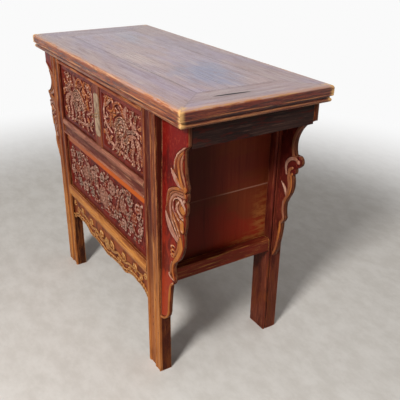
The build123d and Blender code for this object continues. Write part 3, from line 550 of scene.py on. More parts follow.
class Relief:
    """A height field in millimetres over points a and b of a carved face, and each point's tint.
    A later motif lies over an earlier one, with a small ditch cut round it."""

    def __init__(self, a, b):
        self.a, self.b = a, b
        self.height = np.zeros_like(a)
        self.tint = np.zeros_like(a)

    def stroke(self, path, widths, height, tint, groove=0.0, ribs=0.0, lift=0.0, ditch=0.5, knob=False):
        """A rounded ridge along a path: its crown is the square root of one less the square of the
        distance over the half width, and its height goes with the 0.8th power of the crown and less
        where the path is narrow. A groove runs down its middle, ribs cross it at a spacing in
        millimetres, lift raises it off the ground, ditch is how much older carving it cuts away
        round itself, and a knob ends it."""
        path = np.asarray(path, float)
        width = np.interp(np.linspace(0, 1, len(path)), np.linspace(0, 1, len(widths)), widths)
        reach = width.max() * 1.5
        near = np.nonzero((self.a > path[:, 0].min() - reach) & (self.a < path[:, 0].max() + reach)
                          & (self.b > path[:, 1].min() - reach) & (self.b < path[:, 1].max() + reach))
        if not len(near[0]):
            return
        point = np.stack([self.a[near], self.b[near]], -1)[:, None, :]
        start, step = path[:-1], np.diff(path, axis=0)
        along = ((point - start) * step).sum(-1) / np.maximum((step ** 2).sum(-1), 1e-9)
        along = np.clip(along, 0, 1)
        off = np.linalg.norm(point - start - along[..., None] * step, axis=-1)
        local = width[:-1] + (width[1:] - width[:-1]) * along
        share = off / np.maximum(local, 0.05)
        best = share.argmin(1)
        pick = np.arange(len(best))
        share = share[pick, best]
        travel = (best + along[pick, best]) / (len(path) - 1)
        local = local[pick, best]
        inside = share < 1
        crown = np.sqrt(np.clip(1 - share ** 2, 0, 1))
        rise = height * crown ** 0.8 * np.clip(local / max(width.max(), 0.1), 0.35, 1.0) ** 0.5
        rise -= groove * np.exp(-(share / 0.2) ** 2) * crown
        if ribs:
            length = np.linalg.norm(step, axis=1).sum()
            rise += 0.8 * np.cos(2 * math.pi * (travel * length / ribs + 0.7 * share)) * crown
        old = self.height[near]
        ring = np.clip((share - 1) / 0.4, 0, 1)
        old = np.where(share < 1.4, old * (1 - ditch * (1 - ring)), old)
        self.height[near] = np.where(inside, np.maximum(lift * crown ** 0.3 + rise, 0.25 * old), old)
        self.tint[near] = np.where(inside, tint, self.tint[near])
        if knob:
            self.dome(path[-1], width.max() * 1.25, height * 1.05, tint)

    def reed(self, points, widths, height, tint, groove=0.0, steps=10, **extra):
        """A stroke along a smooth curve through a few points."""
        self.stroke(smooth(points, steps), widths, height, tint, groove, **extra)

    def dome(self, centre, radius, height, tint):
        """A round boss: the 0.9th power of a half ball's height."""
        off = np.hypot(self.a - centre[0], self.b - centre[1]) / radius
        crown = np.sqrt(np.clip(1 - off ** 2, 0, 1))
        self.height = np.where(off < 1, np.maximum(height * crown ** 0.9, 0.3 * self.height), self.height)
        self.tint = np.where(off < 1, tint, self.tint)

    def pit(self, path, widths, depth):
        """A deep cut along a path, below the ground."""
        other = Relief(self.a, self.b)
        other.stroke(path, widths, depth, 0.0, ditch=0.0)
        self.height -= other.height

    def leaf(self, root, tip, bend, width, height, tint):
        """A pointed leaf with a vein, bent sideways by a share of its length."""
        root, tip = np.array(root, float), np.array(tip, float)
        side = np.array([-(tip - root)[1], (tip - root)[0]])
        self.reed([root, (root + tip) / 2 + side * bend, tip],
                  [0.35 * width, 0.85 * width, width, 0.75 * width, 0.12 * width], height, tint, 0.9, 14)

    def blossom(self, centre, radius, petals, height, tint, turn=0.0):
        """An open flower: three rings of rounded petals, each ring higher, and a beaded heart."""
        da, db = self.a - centre[0], self.b - centre[1]
        off, angle = np.hypot(da, db), np.arctan2(db, da)
        for ring, (share, rise) in enumerate(((1.0, 0.62), (0.72, 0.82), (0.45, 1.0))):
            wave = np.abs(np.cos(petals / 2 * (angle + turn + ring * math.pi / petals)))
            edge = radius * share * (0.78 + 0.22 * wave ** 0.5)
            q = off / edge
            cup = height * rise * (0.62 + 0.38 * q ** 2) * np.sqrt(np.clip(1 - q ** 8, 0, 1))
            cup -= 0.9 * (1 - wave ** 0.35) * (q > 0.3)
            self.height = np.where(q < 1, np.maximum(cup, 0.4), self.height)
            self.tint = np.where(q < 1, tint + 0.03 * ring, self.tint)
        self.dome(centre, 0.17 * radius, height, tint)

    def chisel(self, rng, size, depth):
        """Short gouge cuts over every raised form: waves of one size from many directions."""
        wave = np.zeros_like(self.a)
        for _ in range(9):
            turn, phase = rng.uniform(0, 2 * math.pi, 2)
            step = 2 * math.pi / (size * rng.uniform(0.8, 1.3))
            wave += np.cos(step * (self.a * math.cos(turn) + self.b * math.sin(turn)) + phase)
        self.height += depth * np.clip(wave / 2.2, -1, 1) * np.clip((self.height - 0.8) / 1.6, 0, 1)

    def field(self, low, high):
        """Fades the relief out over the last 3 mm inside a rectangle's edges."""
        inside = np.minimum.reduce([self.a - low[0], high[0] - self.a, self.b - low[1], high[1] - self.b])
        self.height *= np.clip(inside / 3.0, 0, 1)
        self.tint *= inside > 0.3


def scroll(relief, rng, centre, radius, start, turns, tint, height=5.6):
    """A leafy scroll: a grooved spiral that ends in a knob, with short leaves off its back."""
    width = 0.19 * radius
    path = curl(centre, radius, 0.16 * radius, start, turns)
    for k in range(5):
        i = int((0.04 + 0.13 * k) * len(path))
        out = path[i] - np.array(centre)
        out /= np.linalg.norm(out)
        ahead = path[i + 1] - path[i]
        ahead /= np.linalg.norm(ahead)
        size = radius * rng.uniform(0.42, 0.62)
        relief.leaf(path[i] + 0.05 * size * out, path[i] + size * (0.75 * out + 0.55 * ahead),
                    rng.uniform(-0.12, 0.12), 0.22 * size, height * 0.78,
                    np.clip(tint + rng.uniform(-0.2, 0.2), 0.06, 1))
    relief.stroke(path, [0.7 * width, width, width, 0.8 * width, 0.6 * width], height, tint, 0.9, knob=True)


def spray(relief, rng, root, angle, size, tint, height):
    """A spray of three pointed leaves that fan from one root."""
    for k in (-1, 0, 1):
        turn = math.radians(angle + k * 34 + rng.uniform(-6, 6))
        reach = size * (1 - 0.22 * abs(k)) * rng.uniform(0.9, 1.1)
        tip = (root[0] + reach * math.cos(turn), root[1] + reach * math.sin(turn))
        relief.leaf(root, tip, rng.uniform(-0.15, 0.15), 0.17 * size, height,
                    np.clip(tint + rng.uniform(-0.15, 0.15), 0.06, 1))


def door_relief(a, b, seed):
    """The door's carving, in millimetres from the post side and from the foot: a looped leaf over a
    vine on the post side, a guardian beast knotted among ribbed scrolls with its head turned up, a
    long branch under it, and small leaves all over the ground."""
    rng = np.random.default_rng(seed)
    relief = Relief(a, b)
    reed = relief.reed
    amber, gold, brown, olive, grey, rose, bone = 0.18, 0.3, 0.44, 0.6, 0.72, 0.86, 0.98
    for _ in range(120):
        root = rng.uniform((14, 13), (270, 176))
        spray(relief, rng, root, rng.uniform(0, 360), rng.uniform(11, 19),
              rng.uniform(0.06, 0.5) if root[0] < 100 else rng.uniform(0.3, 0.8), 3.6)

    # the looped leaf with the one inside it, and its tail over the beast
    reed([(30, 138), (34, 158), (52, 173), (76, 170), (90, 152), (80, 136), (60, 130), (40, 132)],
         [4, 5, 5.5, 5, 5, 4.5, 4, 3], 5.4, amber, 0.7)
    relief.leaf((44, 142), (76, 164), 0.14, 6.5, 6.2, rose)
    relief.leaf((50, 154), (60, 172), 0.1, 4, 5.4, gold)
    reed([(88, 150), (106, 164), (128, 168), (146, 156), (140, 142)], [4, 5, 5, 4, 2], 4.8, amber, 0.6)
    reed([(104, 150), (118, 142), (130, 146)], [2, 4.5, 2], 5.0, brown)
    for root, tip, bend, half, tone in (
            ((168, 130), (180, 174), 0.2, 9, rose), ((180, 132), (202, 164), -0.2, 7, brown),
            ((160, 132), (152, 162), 0.2, 6.5, gold), ((196, 128), (226, 150), -0.25, 6.5, amber),
            ((226, 134), (246, 166), 0.2, 7, brown), ((240, 128), (266, 146), -0.2, 6, gold),
            ((214, 152), (222, 173), 0.1, 5, olive), ((66, 124), (56, 78), 0.14, 8.5, gold),
            ((80, 126), (98, 148), -0.2, 6.5, amber), ((84, 116), (106, 128), 0.2, 5.5, gold),
            ((78, 110), (86, 82), -0.2, 6, brown), ((252, 116), (266, 90), 0.2, 6, amber),
            ((258, 84), (266, 56), -0.2, 5.5, brown), ((262, 52), (254, 26), 0.2, 6, gold)):
        relief.leaf(root, tip, bend, half, 5.4, tone)

    # the vine on the post side, and the branch with its leaves
    reed([(26, 146), (19, 122), (24, 96), (42, 80), (72, 68)], [3.5, 5, 5, 5, 3], 5.4, bone, 0.6)
    reed([(22, 108), (36, 104), (44, 112), (36, 120)], [3, 3.5, 3, 1.5], 4.8, rose)
    reed([(26, 92), (18, 78), (22, 62)], [3, 4, 2], 4.8, bone)
    reed([(24, 62), (44, 44), (76, 32), (116, 27), (156, 25), (194, 20)], [5, 5.5, 6, 5.5, 5, 3],
         5.6, rose, 0.8)
    for root, tip, tone in (((48, 42), (34, 22), bone), ((76, 33), (66, 14), rose),
                            ((92, 30), (110, 52), bone), ((120, 27), (112, 12), brown),
                            ((60, 40), (76, 58), gold), ((146, 26), (150, 12), rose),
                            ((120, 30), (142, 46), brown)):
        relief.leaf(root, tip, 0.2, 5.5, 5.4, tone)

    # the beast: four cords knotted round one middle, the ribbed neck and head, and its limbs
    middle = np.array([142.0, 94.0])
    knot = np.array([(98, 76), (104, 100), (124, 120), (150, 124), (172, 112), (182, 92), (174, 74),
                     (152, 66), (130, 74), (122, 92), (134, 106), (154, 104), (160, 90)])
    for shift, tone in ((-7, olive), (7, brown), (-2.4, grey), (2.4, olive)):
        reed(middle + (knot - middle) * (1 + shift / 34),
             [2, 3.4, 3.6, 3.6, 3.6, 3.4, 3.2, 3, 3, 2.8, 2.6, 2.4, 1.5], 6.4, tone, ditch=0.35)
    reed([(178, 100), (200, 104), (218, 114), (226, 126), (216, 134)], [9, 9, 8, 7, 4], 6.2, grey, ribs=8)
    relief.dome((218, 124), 11, 7.0, rose)
    reed([(208, 130), (200, 142), (206, 150)], [3, 3.5, 1.5], 5.8, bone)
    reed([(226, 118), (242, 114), (246, 104)], [4, 4.5, 3], 6.0, bone)
    reed([(184, 92), (206, 100), (228, 96), (246, 88), (252, 76)], [4, 5, 5.5, 5, 3], 5.8, bone, 0.5)
    for path, half, tone in (([(200, 92), (212, 66), (204, 42), (212, 16)], [9, 7, 5, 5.5], bone),
                             ([(232, 90), (244, 64), (236, 42), (244, 16)], [8, 6.5, 5, 5], rose),
                             ([(112, 78), (100, 62), (110, 50)], [7, 6, 4], olive),
                             ([(168, 76), (178, 58), (168, 40), (176, 22)], [8, 6, 4.5, 4.5], grey),
                             ([(142, 70), (136, 54), (146, 42)], [7, 5.5, 3.5], rose)):
        reed(path, half, 5.8, tone, 0.4, ribs=7)
    for x, z, radius, tone in ((112, 110, 6, rose), (140, 120, 5.5, bone), (166, 114, 6, rose),
                               (128, 84, 5, bone), (150, 84, 6, olive), (176, 86, 5, rose),
                               (142, 98, 4.5, bone), (206, 18, 6, bone), (240, 18, 6, rose)):
        relief.dome((x, z), radius, 6.8, tone)
    for path in ([(112, 92), (116, 84)], [(146, 112), (154, 114)], [(164, 98), (166, 90)],
                 [(190, 78), (194, 62)], [(222, 80), (226, 60)], [(88, 100), (92, 92)],
                 [(156, 56), (158, 46)], [(126, 62), (124, 52)]):
        relief.pit(path, [4.5, 4.5], 3.0)
    relief.chisel(rng, 8.0, 0.7)
    relief.field((12, 12), (270, 175))
    return relief


def panel_relief(a, b):
    """The long panel: an open flower in the middle, and on each side a running vine whose scrolls
    hold a flower, with leaves filling the ground."""
    rng = np.random.default_rng(11)
    relief = Relief(a, b)
    for _ in range(190):
        root = rng.uniform((-280, 374), (280, 521))
        spray(relief, rng, root, rng.uniform(0, 360), rng.uniform(13, 22), rng.uniform(0.1, 0.9), 3.8)
    vine = np.array([(22, 400), (60, 384), (96, 402), (110, 446), (140, 500), (186, 508), (206, 462),
                     (222, 404), (262, 392)])
    for side in (1, -1):
        relief.reed(vine * (side, 1), [6, 6, 6, 6, 6, 6, 6, 5, 3], 4.8, 0.35, 0.9, 28)
        for x, z, radius, angle, turns, tint in (
                (72, 478, 27, 90 + side * 120, -1.5, 0.75), (96, 400, 19, 90 - side * 60, 1.4, 0.55),
                (150, 398, 22, 200, 1.5, 0.8), (196, 492, 20, 30, -1.4, 0.6), (252, 486, 24, 300, 1.5, 0.3),
                (262, 424, 17, 120, -1.4, 0.85), (206, 402, 17, 250, -1.4, 0.5)):
            scroll(relief, rng, (side * x, z), radius, angle, side * turns, tint)
        relief.blossom((side * 146, 452), 27, 7, 6.4, 0.82, 0.3)
        relief.blossom((side * 222, 446), 19, 6, 5.8, 0.2, 0.1)
        for root, tip in (((40, 430), (58, 452)), ((40, 412), (64, 420)), ((110, 470), (122, 500)),
                          ((178, 430), (196, 448)), ((118, 420), (132, 408)), ((240, 460), (262, 456)),
                          ((30, 496), (50, 512)), ((170, 506), (150, 516))):
            relief.leaf((side * root[0], root[1]), (side * tip[0], tip[1]), 0.15 * side, 6, 6.0,
                        rng.uniform(0.5, 1.0))
    scroll(relief, rng, (-4, 492), 20, 200, 1.5, 0.6)
    relief.blossom((0, 424), 37, 9, 6.9, 0.86)
    relief.chisel(rng, 13.0, 1.1)
    relief.field((-283, 371), (283, 524))
    return relief


def apron_relief(a, b, edge):
    """The apron: a bead along its cusped edge, and a low tendril that curls outwards from the
    middle. edge is the lower edge as points."""
    rng = np.random.default_rng(5)
    relief = Relief(a, b)
    tendril = np.array([(0, 262), (40, 244), (90, 258), (130, 250), (170, 262), (215, 268), (262, 272)])
    for side in (1, -1):
        relief.reed(tendril * (side, 1), [5, 5, 5, 4.5, 4.5, 4, 2], 3.0, 0.5, 0.6, 28)
        for x, z, radius, angle, turns in ((40, 266, 19, 250, 1.4), (92, 238, 15, 100, -1.4),
                                           (130, 270, 17, 250, 1.4), (172, 246, 13, 90, -1.3),
                                           (212, 276, 15, 260, 1.4), (252, 262, 12, 80, -1.3),
                                           (284, 284, 12, 200, 1.3)):
            scroll(relief, rng, (side * x, z), radius, angle if side > 0 else 180 - angle, side * turns,
                   rng.uniform(0.4, 0.9), 3.4)
    relief.blossom((0, 250), 24, 7, 3.8, 0.8)
    relief.stroke(edge + (0, 13), [3.2, 3.2], 2.8, 0.3)
    relief.stroke(edge, [7.0, 7.0], 3.6, 0.6, lift=0.4)
    for i in range(12, len(edge) - 12, 14):
        relief.leaf(edge[i] + (0, 3), edge[i] + (rng.uniform(-7, 7), 20), 0.2, 4.2, 3.8,
                    rng.uniform(0.2, 0.9))
    relief.chisel(rng, 11.0, 0.6)
    return relief


def arc_run(start, through, end, steps):
    """Points on the circle through three points, from the first to the last."""
    p, q, r = (np.array(v, float) for v in (start, through, end))
    rows = np.array([q - p, r - q])
    if abs(np.linalg.det(rows)) < 1e-9:
        return p + (r - p) * np.linspace(0, 1, steps)[:, None]
    centre = np.linalg.solve(rows, [(q @ q - p @ p) / 2, (r @ r - q @ q) / 2])
    first, middle, last = (math.atan2(*(v - centre)[::-1]) for v in (p, q, r))
    sweep = (last - first) % (2 * math.pi)
    if (middle - first) % (2 * math.pi) > sweep:
        sweep -= 2 * math.pi
    angle = first + sweep * np.linspace(0, 1, steps)
    return centre + np.linalg.norm(p - centre) * np.stack([np.cos(angle), np.sin(angle)], -1)


def outline(start, runs, place, steps):
    """A chain of arcs, each through one point to the next, as one line of points. The points are
    given in thousandths, and place puts their shares of one where they belong."""
    here, *rest = [place(*np.array(point) / 1000) for point in (start, *sum(runs, ()))]
    points = [np.array([here])]
    for through, to in zip(rest[::2], rest[1::2]):
        points.append(arc_run(here, through, to, steps)[1:])
        here = to
    return np.vstack(points)


# ---------------------------------------------------------------- doors, panel, apron and wings
# All in millimetres, with y smaller to the front.
FRONT_Y = -211.0  # what stands proud on doors and panel
DOOR_IN, DOOR_OUT = 24.5, 306.5
DOOR_FOOT, DOOR_HEAD = 601.5, 788.5
DOOR_FRONT_Y, DOOR_BACK_Y = -208.5, -191.0
DOOR_BORDER, BORDER_SWELL, DOOR_WELL = 13, 0.8, 6.0
ROUND_FRONT, ROUND_BACK = 4, 9  # radii of the hinge edge, which clears the leg
DOOR_GRID, DOOR_SEEDS = (320, 216), {1: 3, -1: 8}  # points across and up, and each side's own carving
PIVOT_X, PIVOT_Y, PIVOT_R = 296.5, -201, 5.0
PIVOT_TALL, PIVOT_SUNK, PIVOT_EASED = 11.0, 3.0, 1.0
POINT = 0.01  # the radius of a lathe profile at its closed ends
CUT = 2.0  # how wide a border's step down to its well is


def hand(side):
    """The word for a side of the table: 1 is the right one, -1 the left one."""
    return "right" if side > 0 else "left"


def border(rim, width, swell, well):
    """How far a plain border swells forward, less how deep its well is cut behind it, as a function
    of the distance from the edge: a slope over the border's width and a steep cut after it."""
    return swell * np.clip(rim / width, 0, 1) - well * np.clip((rim - width) / CUT, 0, 1)


def door(side, material):
    """One door: each level's ring runs over the carved front from the inner edge to the hinge edge,
    round the two hinge roundings, and back along the flat back. Two pivots stand on its ends."""
    width, tall = DOOR_OUT - DOOR_IN, DOOR_HEAD - DOOR_FOOT
    levels = np.linspace(0, tall, DOOR_GRID[1])
    a, b = np.meshgrid(np.linspace(0, width - ROUND_FRONT, DOOR_GRID[0]), levels)
    relief = door_relief(a, b, DOOR_SEEDS[side])
    rim = np.minimum(np.minimum(a, width - a), np.minimum(b, tall - b))
    front = DOOR_FRONT_Y - border(rim, DOOR_BORDER, BORDER_SWELL, DOOR_WELL) - relief.height
    turn = np.linspace(0, math.pi / 2, 7)[1:]
    short_x, short_y = 1 - np.sin(turn), 1 - np.cos(turn)
    ring_x = np.concatenate([width - ROUND_FRONT * short_x, width - ROUND_BACK * short_y, [0]])
    ring_y = np.concatenate([DOOR_FRONT_Y + ROUND_FRONT * short_y, DOOR_BACK_Y - ROUND_BACK * short_x,
                             [DOOR_BACK_Y]])
    x = np.hstack([a, np.tile(ring_x, (len(levels), 1))])
    y = np.hstack([np.maximum(front, FRONT_Y), np.tile(ring_y, (len(levels), 1))])
    z = np.hstack([b, np.tile(levels[:, None], (1, len(ring_x)))]) + DOOR_FOOT
    shell(f"door_carving_{hand(side)}", np.stack([side * (x + DOOR_IN), y, z], -1), relief, FRONT_Y,
          f"{hand(side)}_door", f"door_{hand(side)}", material)


def pivots(side, material):
    """The two turned wooden pivots of a door: a lathe profile of radius against height, closed at
    both ends, sunk into the door and eased at its tip."""
    rise = np.array([-PIVOT_SUNK, -PIVOT_SUNK, PIVOT_TALL - PIVOT_EASED, PIVOT_TALL, PIVOT_TALL])
    radius = np.array([POINT, PIVOT_R, PIVOT_R, PIVOT_R - PIVOT_EASED, POINT])[:, None]
    angle = np.linspace(0, 2 * math.pi, 32, endpoint=False)
    for label, end, sign in (("top", DOOR_HEAD, 1), ("foot", DOOR_FOOT, -1)):
        rows = np.stack([side * (PIVOT_X + radius * np.cos(angle)), PIVOT_Y + radius * np.sin(angle),
                         np.tile((end + sign * rise)[:, None], (1, len(angle)))], -1)
        shell(f"door_pivot_{hand(side)}_{label}", rows, None, FRONT_Y, f"{hand(side)}_door",
              f"door_{hand(side)}", material)


PANEL_HALF, PANEL_FOOT, PANEL_HEAD, TONGUE = 308.0, 347.0, 548.0, 6.0
PANEL_FRONT_Y, PANEL_BACK_Y = -205.0, -193.0
PANEL_BORDER, PANEL_SWELL, PANEL_WELL, PANEL_GRID = 24, 3.6, 3.4, (520, 178)


def carved_panel(material):
    """The long panel: sloping margins that rise to a carved field, on a flat-backed board."""
    wide = PANEL_HALF + TONGUE
    across = np.linspace(-wide, wide, PANEL_GRID[0])
    levels = np.linspace(PANEL_FOOT - TONGUE, PANEL_HEAD + TONGUE, PANEL_GRID[1])
    a, b = np.meshgrid(across, levels)
    relief = panel_relief(a, b)
    rim = np.minimum(np.minimum(a + PANEL_HALF, PANEL_HALF - a), np.minimum(b - PANEL_FOOT, PANEL_HEAD - b))
    front = PANEL_FRONT_Y - border(rim, PANEL_BORDER, PANEL_SWELL, PANEL_WELL) - relief.height
    back = np.full((len(levels), 1), PANEL_BACK_Y)
    rows = np.stack([np.hstack([a, np.full_like(back, wide), np.full_like(back, -wide)]),
                     np.hstack([np.maximum(front, FRONT_Y), back, back]),
                     np.tile(levels[:, None], (1, len(across) + 2))], -1)
    shell("panel_carving", rows, relief, FRONT_Y, "frame", "carved_panel", material)


APRON_HALF, APRON_HEAD, APRON_DEEP = 308, 305, 98
APRON_PROUD_Y, APRON_GROUND_Y, APRON_BACK_Y = -209.0, -206.2, -195.0
APRON_GRID, ROUNDED, ROUND_FROM = (120, 60), 2.2, 0.985
APRON_RUNS = (((960, 925), (930, 850)), ((870, 760), (750, 745)),
              ((600, 735), (505, 860)), ((440, 905), (370, 875)),
              ((200, 900), (0, 1000)))


def carved_apron(material):
    """The apron: each step's ring runs down the carved front to the cusped edge, which is rounded by
    the square of the last of the way down, and up the flat back."""
    half = outline((1000, 930), APRON_RUNS, lambda u, v: (APRON_HALF * u, APRON_HEAD - APRON_DEEP * v), 26)
    half = half[::-1][np.linspace(0, len(half) - 1, APRON_GRID[0]).round().astype(int)]
    edge = np.vstack([half[:0:-1] * (-1, 1), half])
    down = np.linspace(0, 1, APRON_GRID[1])
    a = edge[:, :1] + 0 * down
    b = APRON_HEAD + (edge[:, 1:] - APRON_HEAD) * down
    relief = apron_relief(a, b, edge)
    rounding = ROUNDED * np.clip((down - ROUND_FROM) / (1 - ROUND_FROM), 0, 1) ** 2
    front = np.maximum(APRON_GROUND_Y - relief.height + rounding, APRON_PROUD_Y)
    rows = np.stack([np.hstack([a, a[:, :2]]),
                     np.hstack([front, np.full((len(edge), 2), APRON_BACK_Y)]),
                     np.hstack([b, b[:, [-1, 0]]])], -1)
    shell("apron_carving", rows, relief, APRON_PROUD_Y, "frame", "apron", material)


# A wing's edge from the top to the foot, as arcs: the point that each passes and the one where it ends,
# both in thousandths of the wing's width and of its height under the plain shoulder.
RIGHT_WING_RUNS = (
    ((900, 20), (875, 60)), ((900, 125), (1000, 185)), ((1012, 199), (968, 214)),
    ((1010, 236), (960, 261)), ((1000, 290), (944, 330)), ((960, 371), (911, 426)),
    ((935, 471), (895, 513)), ((800, 562), (613, 605)), ((540, 649), (613, 696)),
    ((575, 728), (460, 752)), ((420, 833), (403, 917)), ((290, 970), (0, 1000)))
LEFT_WING_RUNS = (
    ((742, 34), (597, 100)), ((661, 150), (919, 187)), ((952, 203), (887, 217)),
    ((850, 229), (839, 244)), ((911, 268), (815, 299)), ((865, 339), (790, 394)),
    ((742, 438), (661, 484)), ((700, 534), (597, 581)), ((468, 625), (339, 661)),
    ((290, 694), (387, 733)), ((290, 756), (234, 788)), ((202, 846), (185, 909)),
    ((137, 964), (0, 1000)))
BACK_WING_RUNS = (
    ((677, 59), (492, 143)), ((468, 200), (516, 253)), ((581, 246), (653, 246)),
    ((734, 272), (694, 303)), ((621, 320), (540, 331)), ((556, 349), (524, 368)),
    ((492, 374), (468, 381)), ((508, 446), (435, 514)), ((363, 547), (298, 583)),
    ((290, 632), (331, 682)), ((298, 707), (234, 728)), ((218, 800), (161, 884)),
    ((105, 947), (0, 1000)))
LEG_FACE, UNDER_TOP, SHOULDER = 382.0, 807.0, 50.0
WING_W, WING_T, FRONT_WING_TALL, BACK_WING_TALL = 124.0, 17.0, 602.0, 525.0
FRONT_WING_Y, BACK_WING_Y = -200.0, 183.0
LEAN_FROM, LEAN, THINNED = 57.0, 13.0, 5.0  # the warped wing, at its foot
WING_GROUND, EASED, EASED_SHARE = 4.0, 1.5, 0.985
NARROW, WIDEN = 8, 2.0  # a narrow wing's carving spreads twofold at most
ARC_STEPS, SHOULDER_STEPS, OUT_STEPS = 25, 16, 110
TIP, EVEN = 0.02, 6  # the width left at the foot, and the points to each side in a running mean


def front_wing_relief(a, b, reach):
    """A front wing's carving, in millimetres out from the leg and down from the top. A cove of three
    reeds follows the hollow and ends in a pointed leaf; below it an open scroll of four reeds turns
    round a deep pit and holds two buds; a long leaf runs out of it; a swelling stem with short curls
    ends in a hooked tip, and a bead edges the foot. reach is how much further out these points would
    lie on the wider wing that the figures are for."""
    relief = Relief(a * reach, b)
    reed = relief.reed
    gold, brown, olive, rose, bone = 0.38, 0.55, 0.62, 0.78, 0.95
    edge = np.stack([relief.a.max(axis=1), b.max(axis=1)], -1)
    inner = np.interp(b, [50, 60, 78, 90, 105, 123, 127, 142, 158, 166, 172, 182, 191, 206, 220, 246, 262,
                          280, 300, 310, 340, 363, 386, 403, 425, 440, 446],
                      [126, 110, 86, 75, 68, 66, 54, 76, 98, 96, 76, 54, 42, 34, 31, 24, 30,
                       42, 64, 84, 92, 82, 66, 60, 54, 44, 126])
    filled = (relief.a > inner) & (b > 50) & (b < 446)
    relief.height = np.where(filled, 2.4, relief.height)
    relief.tint = np.where(filled, 0.08, relief.tint)

    # the cove and its leaf
    reed([(122, 52), (110, 58), (97, 68), (84, 78), (75, 90), (69, 102), (67, 122)], [1.5, 3, 3, 3, 3, 3, 2],
         3.8, rose)
    reed([(112, 64), (94, 80), (85, 98), (87, 116), (94, 137), (106, 156), (116, 163)], [3, 4, 5, 5, 5, 5, 4],
         4.2, brown, 0.5)
    reed([(110, 72), (102, 92), (103, 113), (111, 130), (120, 143), (123, 155)], [3, 4, 4, 4, 4, 3],
         4.6, rose)
    reed([(50, 127), (60, 136), (75, 147), (88, 155), (105, 162)], [0.8, 7, 10, 9, 6], 5.0, bone, 0.8)
    reed([(82, 143), (98, 154), (112, 163)], [2, 4, 3], 4.6, gold)
    relief.dome((122, 158), 7, 5.2, gold)

    # the open scroll, its pit and its buds
    reed([(122, 168), (104, 166), (81, 171), (57, 181), (42, 191), (35, 206), (32, 220), (29, 238)],
         [4, 4.5, 5, 5, 5, 4, 3, 1], 4.4, brown, 0.8)
    reed([(112, 173), (88, 178), (68, 185), (53, 195), (47, 208)], [4, 4, 4.5, 4, 2], 4.6, olive)
    reed([(116, 180), (97, 182), (77, 187), (63, 197), (53, 211), (49, 226), (51, 242), (57, 255), (66, 268),
          (76, 278)], [4, 4, 4.5, 4.5, 4.5, 4.5, 4.5, 4, 4, 3], 5.0, rose, 0.5)
    relief.pit(smooth([(84, 199), (71, 211), (69, 229), (77, 241)], 10), [3, 6, 6, 3], 8.0)
    reed([(88, 192), (101, 193), (111, 200), (118, 208), (119, 218)], [4, 5, 5, 5, 4], 5.0, bone)
    reed([(92, 202), (84, 214), (87, 227), (99, 234), (110, 236)], [3.5, 4.5, 4.5, 4, 3], 4.8, rose)
    reed([(98, 206), (97, 218), (104, 226)], [3, 4, 3], 4.0, brown)
    reed([(76, 240), (88, 249), (103, 252), (112, 250)], [3, 4.5, 4.5, 3], 4.6, brown, 0.5)
    reed([(98, 238), (110, 243), (114, 240)], [2, 3, 2], 5.0, bone)

    # the long leaf, and the swelling stem with its curls and tip
    reed([(24, 252), (31, 265), (40, 278), (52, 291), (67, 302), (84, 310), (98, 314)],
         [0.8, 7, 11, 12, 10, 8, 5], 5.2, bone, 1.1)
    reed([(47, 250), (58, 264), (70, 276), (82, 288), (94, 302)], [1, 4, 4.5, 4, 3], 5.0, rose)
    reed([(61, 244), (70, 257), (81, 267), (91, 279), (100, 294), (104, 306)], [1.5, 4, 4.5, 4.5, 4, 3],
         4.8, brown, 0.4)
    reed([(101, 300), (104, 320), (97, 341), (86, 363), (71, 385), (64, 402), (63, 419), (69, 431),
          (75, 437)], [5, 10, 9, 7, 6, 5, 5, 4, 1], 4.8, gold, 0.5)
    reed([(92, 312), (90, 332), (80, 352), (64, 372)], [3, 5, 5, 3], 3.8, brown)
    for z in (344, 357, 369):
        reed([(74, z - 5), (64, z - 6), (54, z), (60, z + 5), (70, z + 2)], [2, 2.6, 2.6, 2, 1.4], 2.4, gold)
    reed([(60, 388), (55, 404), (54, 420), (48, 432)], [2, 4, 4, 2], 4.2, rose, 0.4)
    reed([(44, 430), (56, 438), (72, 440)], [1.5, 3.5, 2], 4.8, bone)
    relief.stroke(edge[int(0.80 * len(edge)):] - (4, 0), [3.6, 3.6], 4.4, gold, lift=0.3)
    relief.stroke([(107, 253), (109, 272)], [9, 9], 5.8, gold)
    for x, z, radius, tone in ((120, 175, 7, brown), (119, 190, 6, rose), (110, 217, 12, gold),
                               (121, 158, 8, gold)):
        relief.dome((x, z), radius, 5.8, tone)
    return relief


def back_wing_relief(a, b, line):
    """A back wing's plainer carving: a bead that follows the edge and one leafy curl."""
    relief = Relief(a, b)
    rim = line - (5.5, 0)
    relief.stroke(rim[3:int(0.24 * len(rim))], [5.5, 5.5], 3.6, 0.7, 0.9)
    relief.stroke(rim[int(0.5 * len(rim)):], [4.2, 4.2], 3.0, 0.5, lift=0.3)
    relief.reed([(34, 232), (30, 205), (44, 184), (66, 176), (80, 182)], [3, 5, 5.5, 5.5, 4],
                4.2, 0.85, 1.0, 28, knob=True)
    relief.reed([(58, 206), (46, 216), (44, 240), (50, 268), (42, 300), (30, 322)], [4, 5, 5, 5, 4, 3],
                4.0, 0.6, 1.0, 28)
    relief.leaf((40, 300), (14, 262), 0.12, 6, 3.8, 0.9)
    relief.reed([(30, 322), (30, 352), (36, 376), (26, 396)], [3, 4.5, 4.5, 3], 3.8, 0.7, 0.8, 28)
    return relief


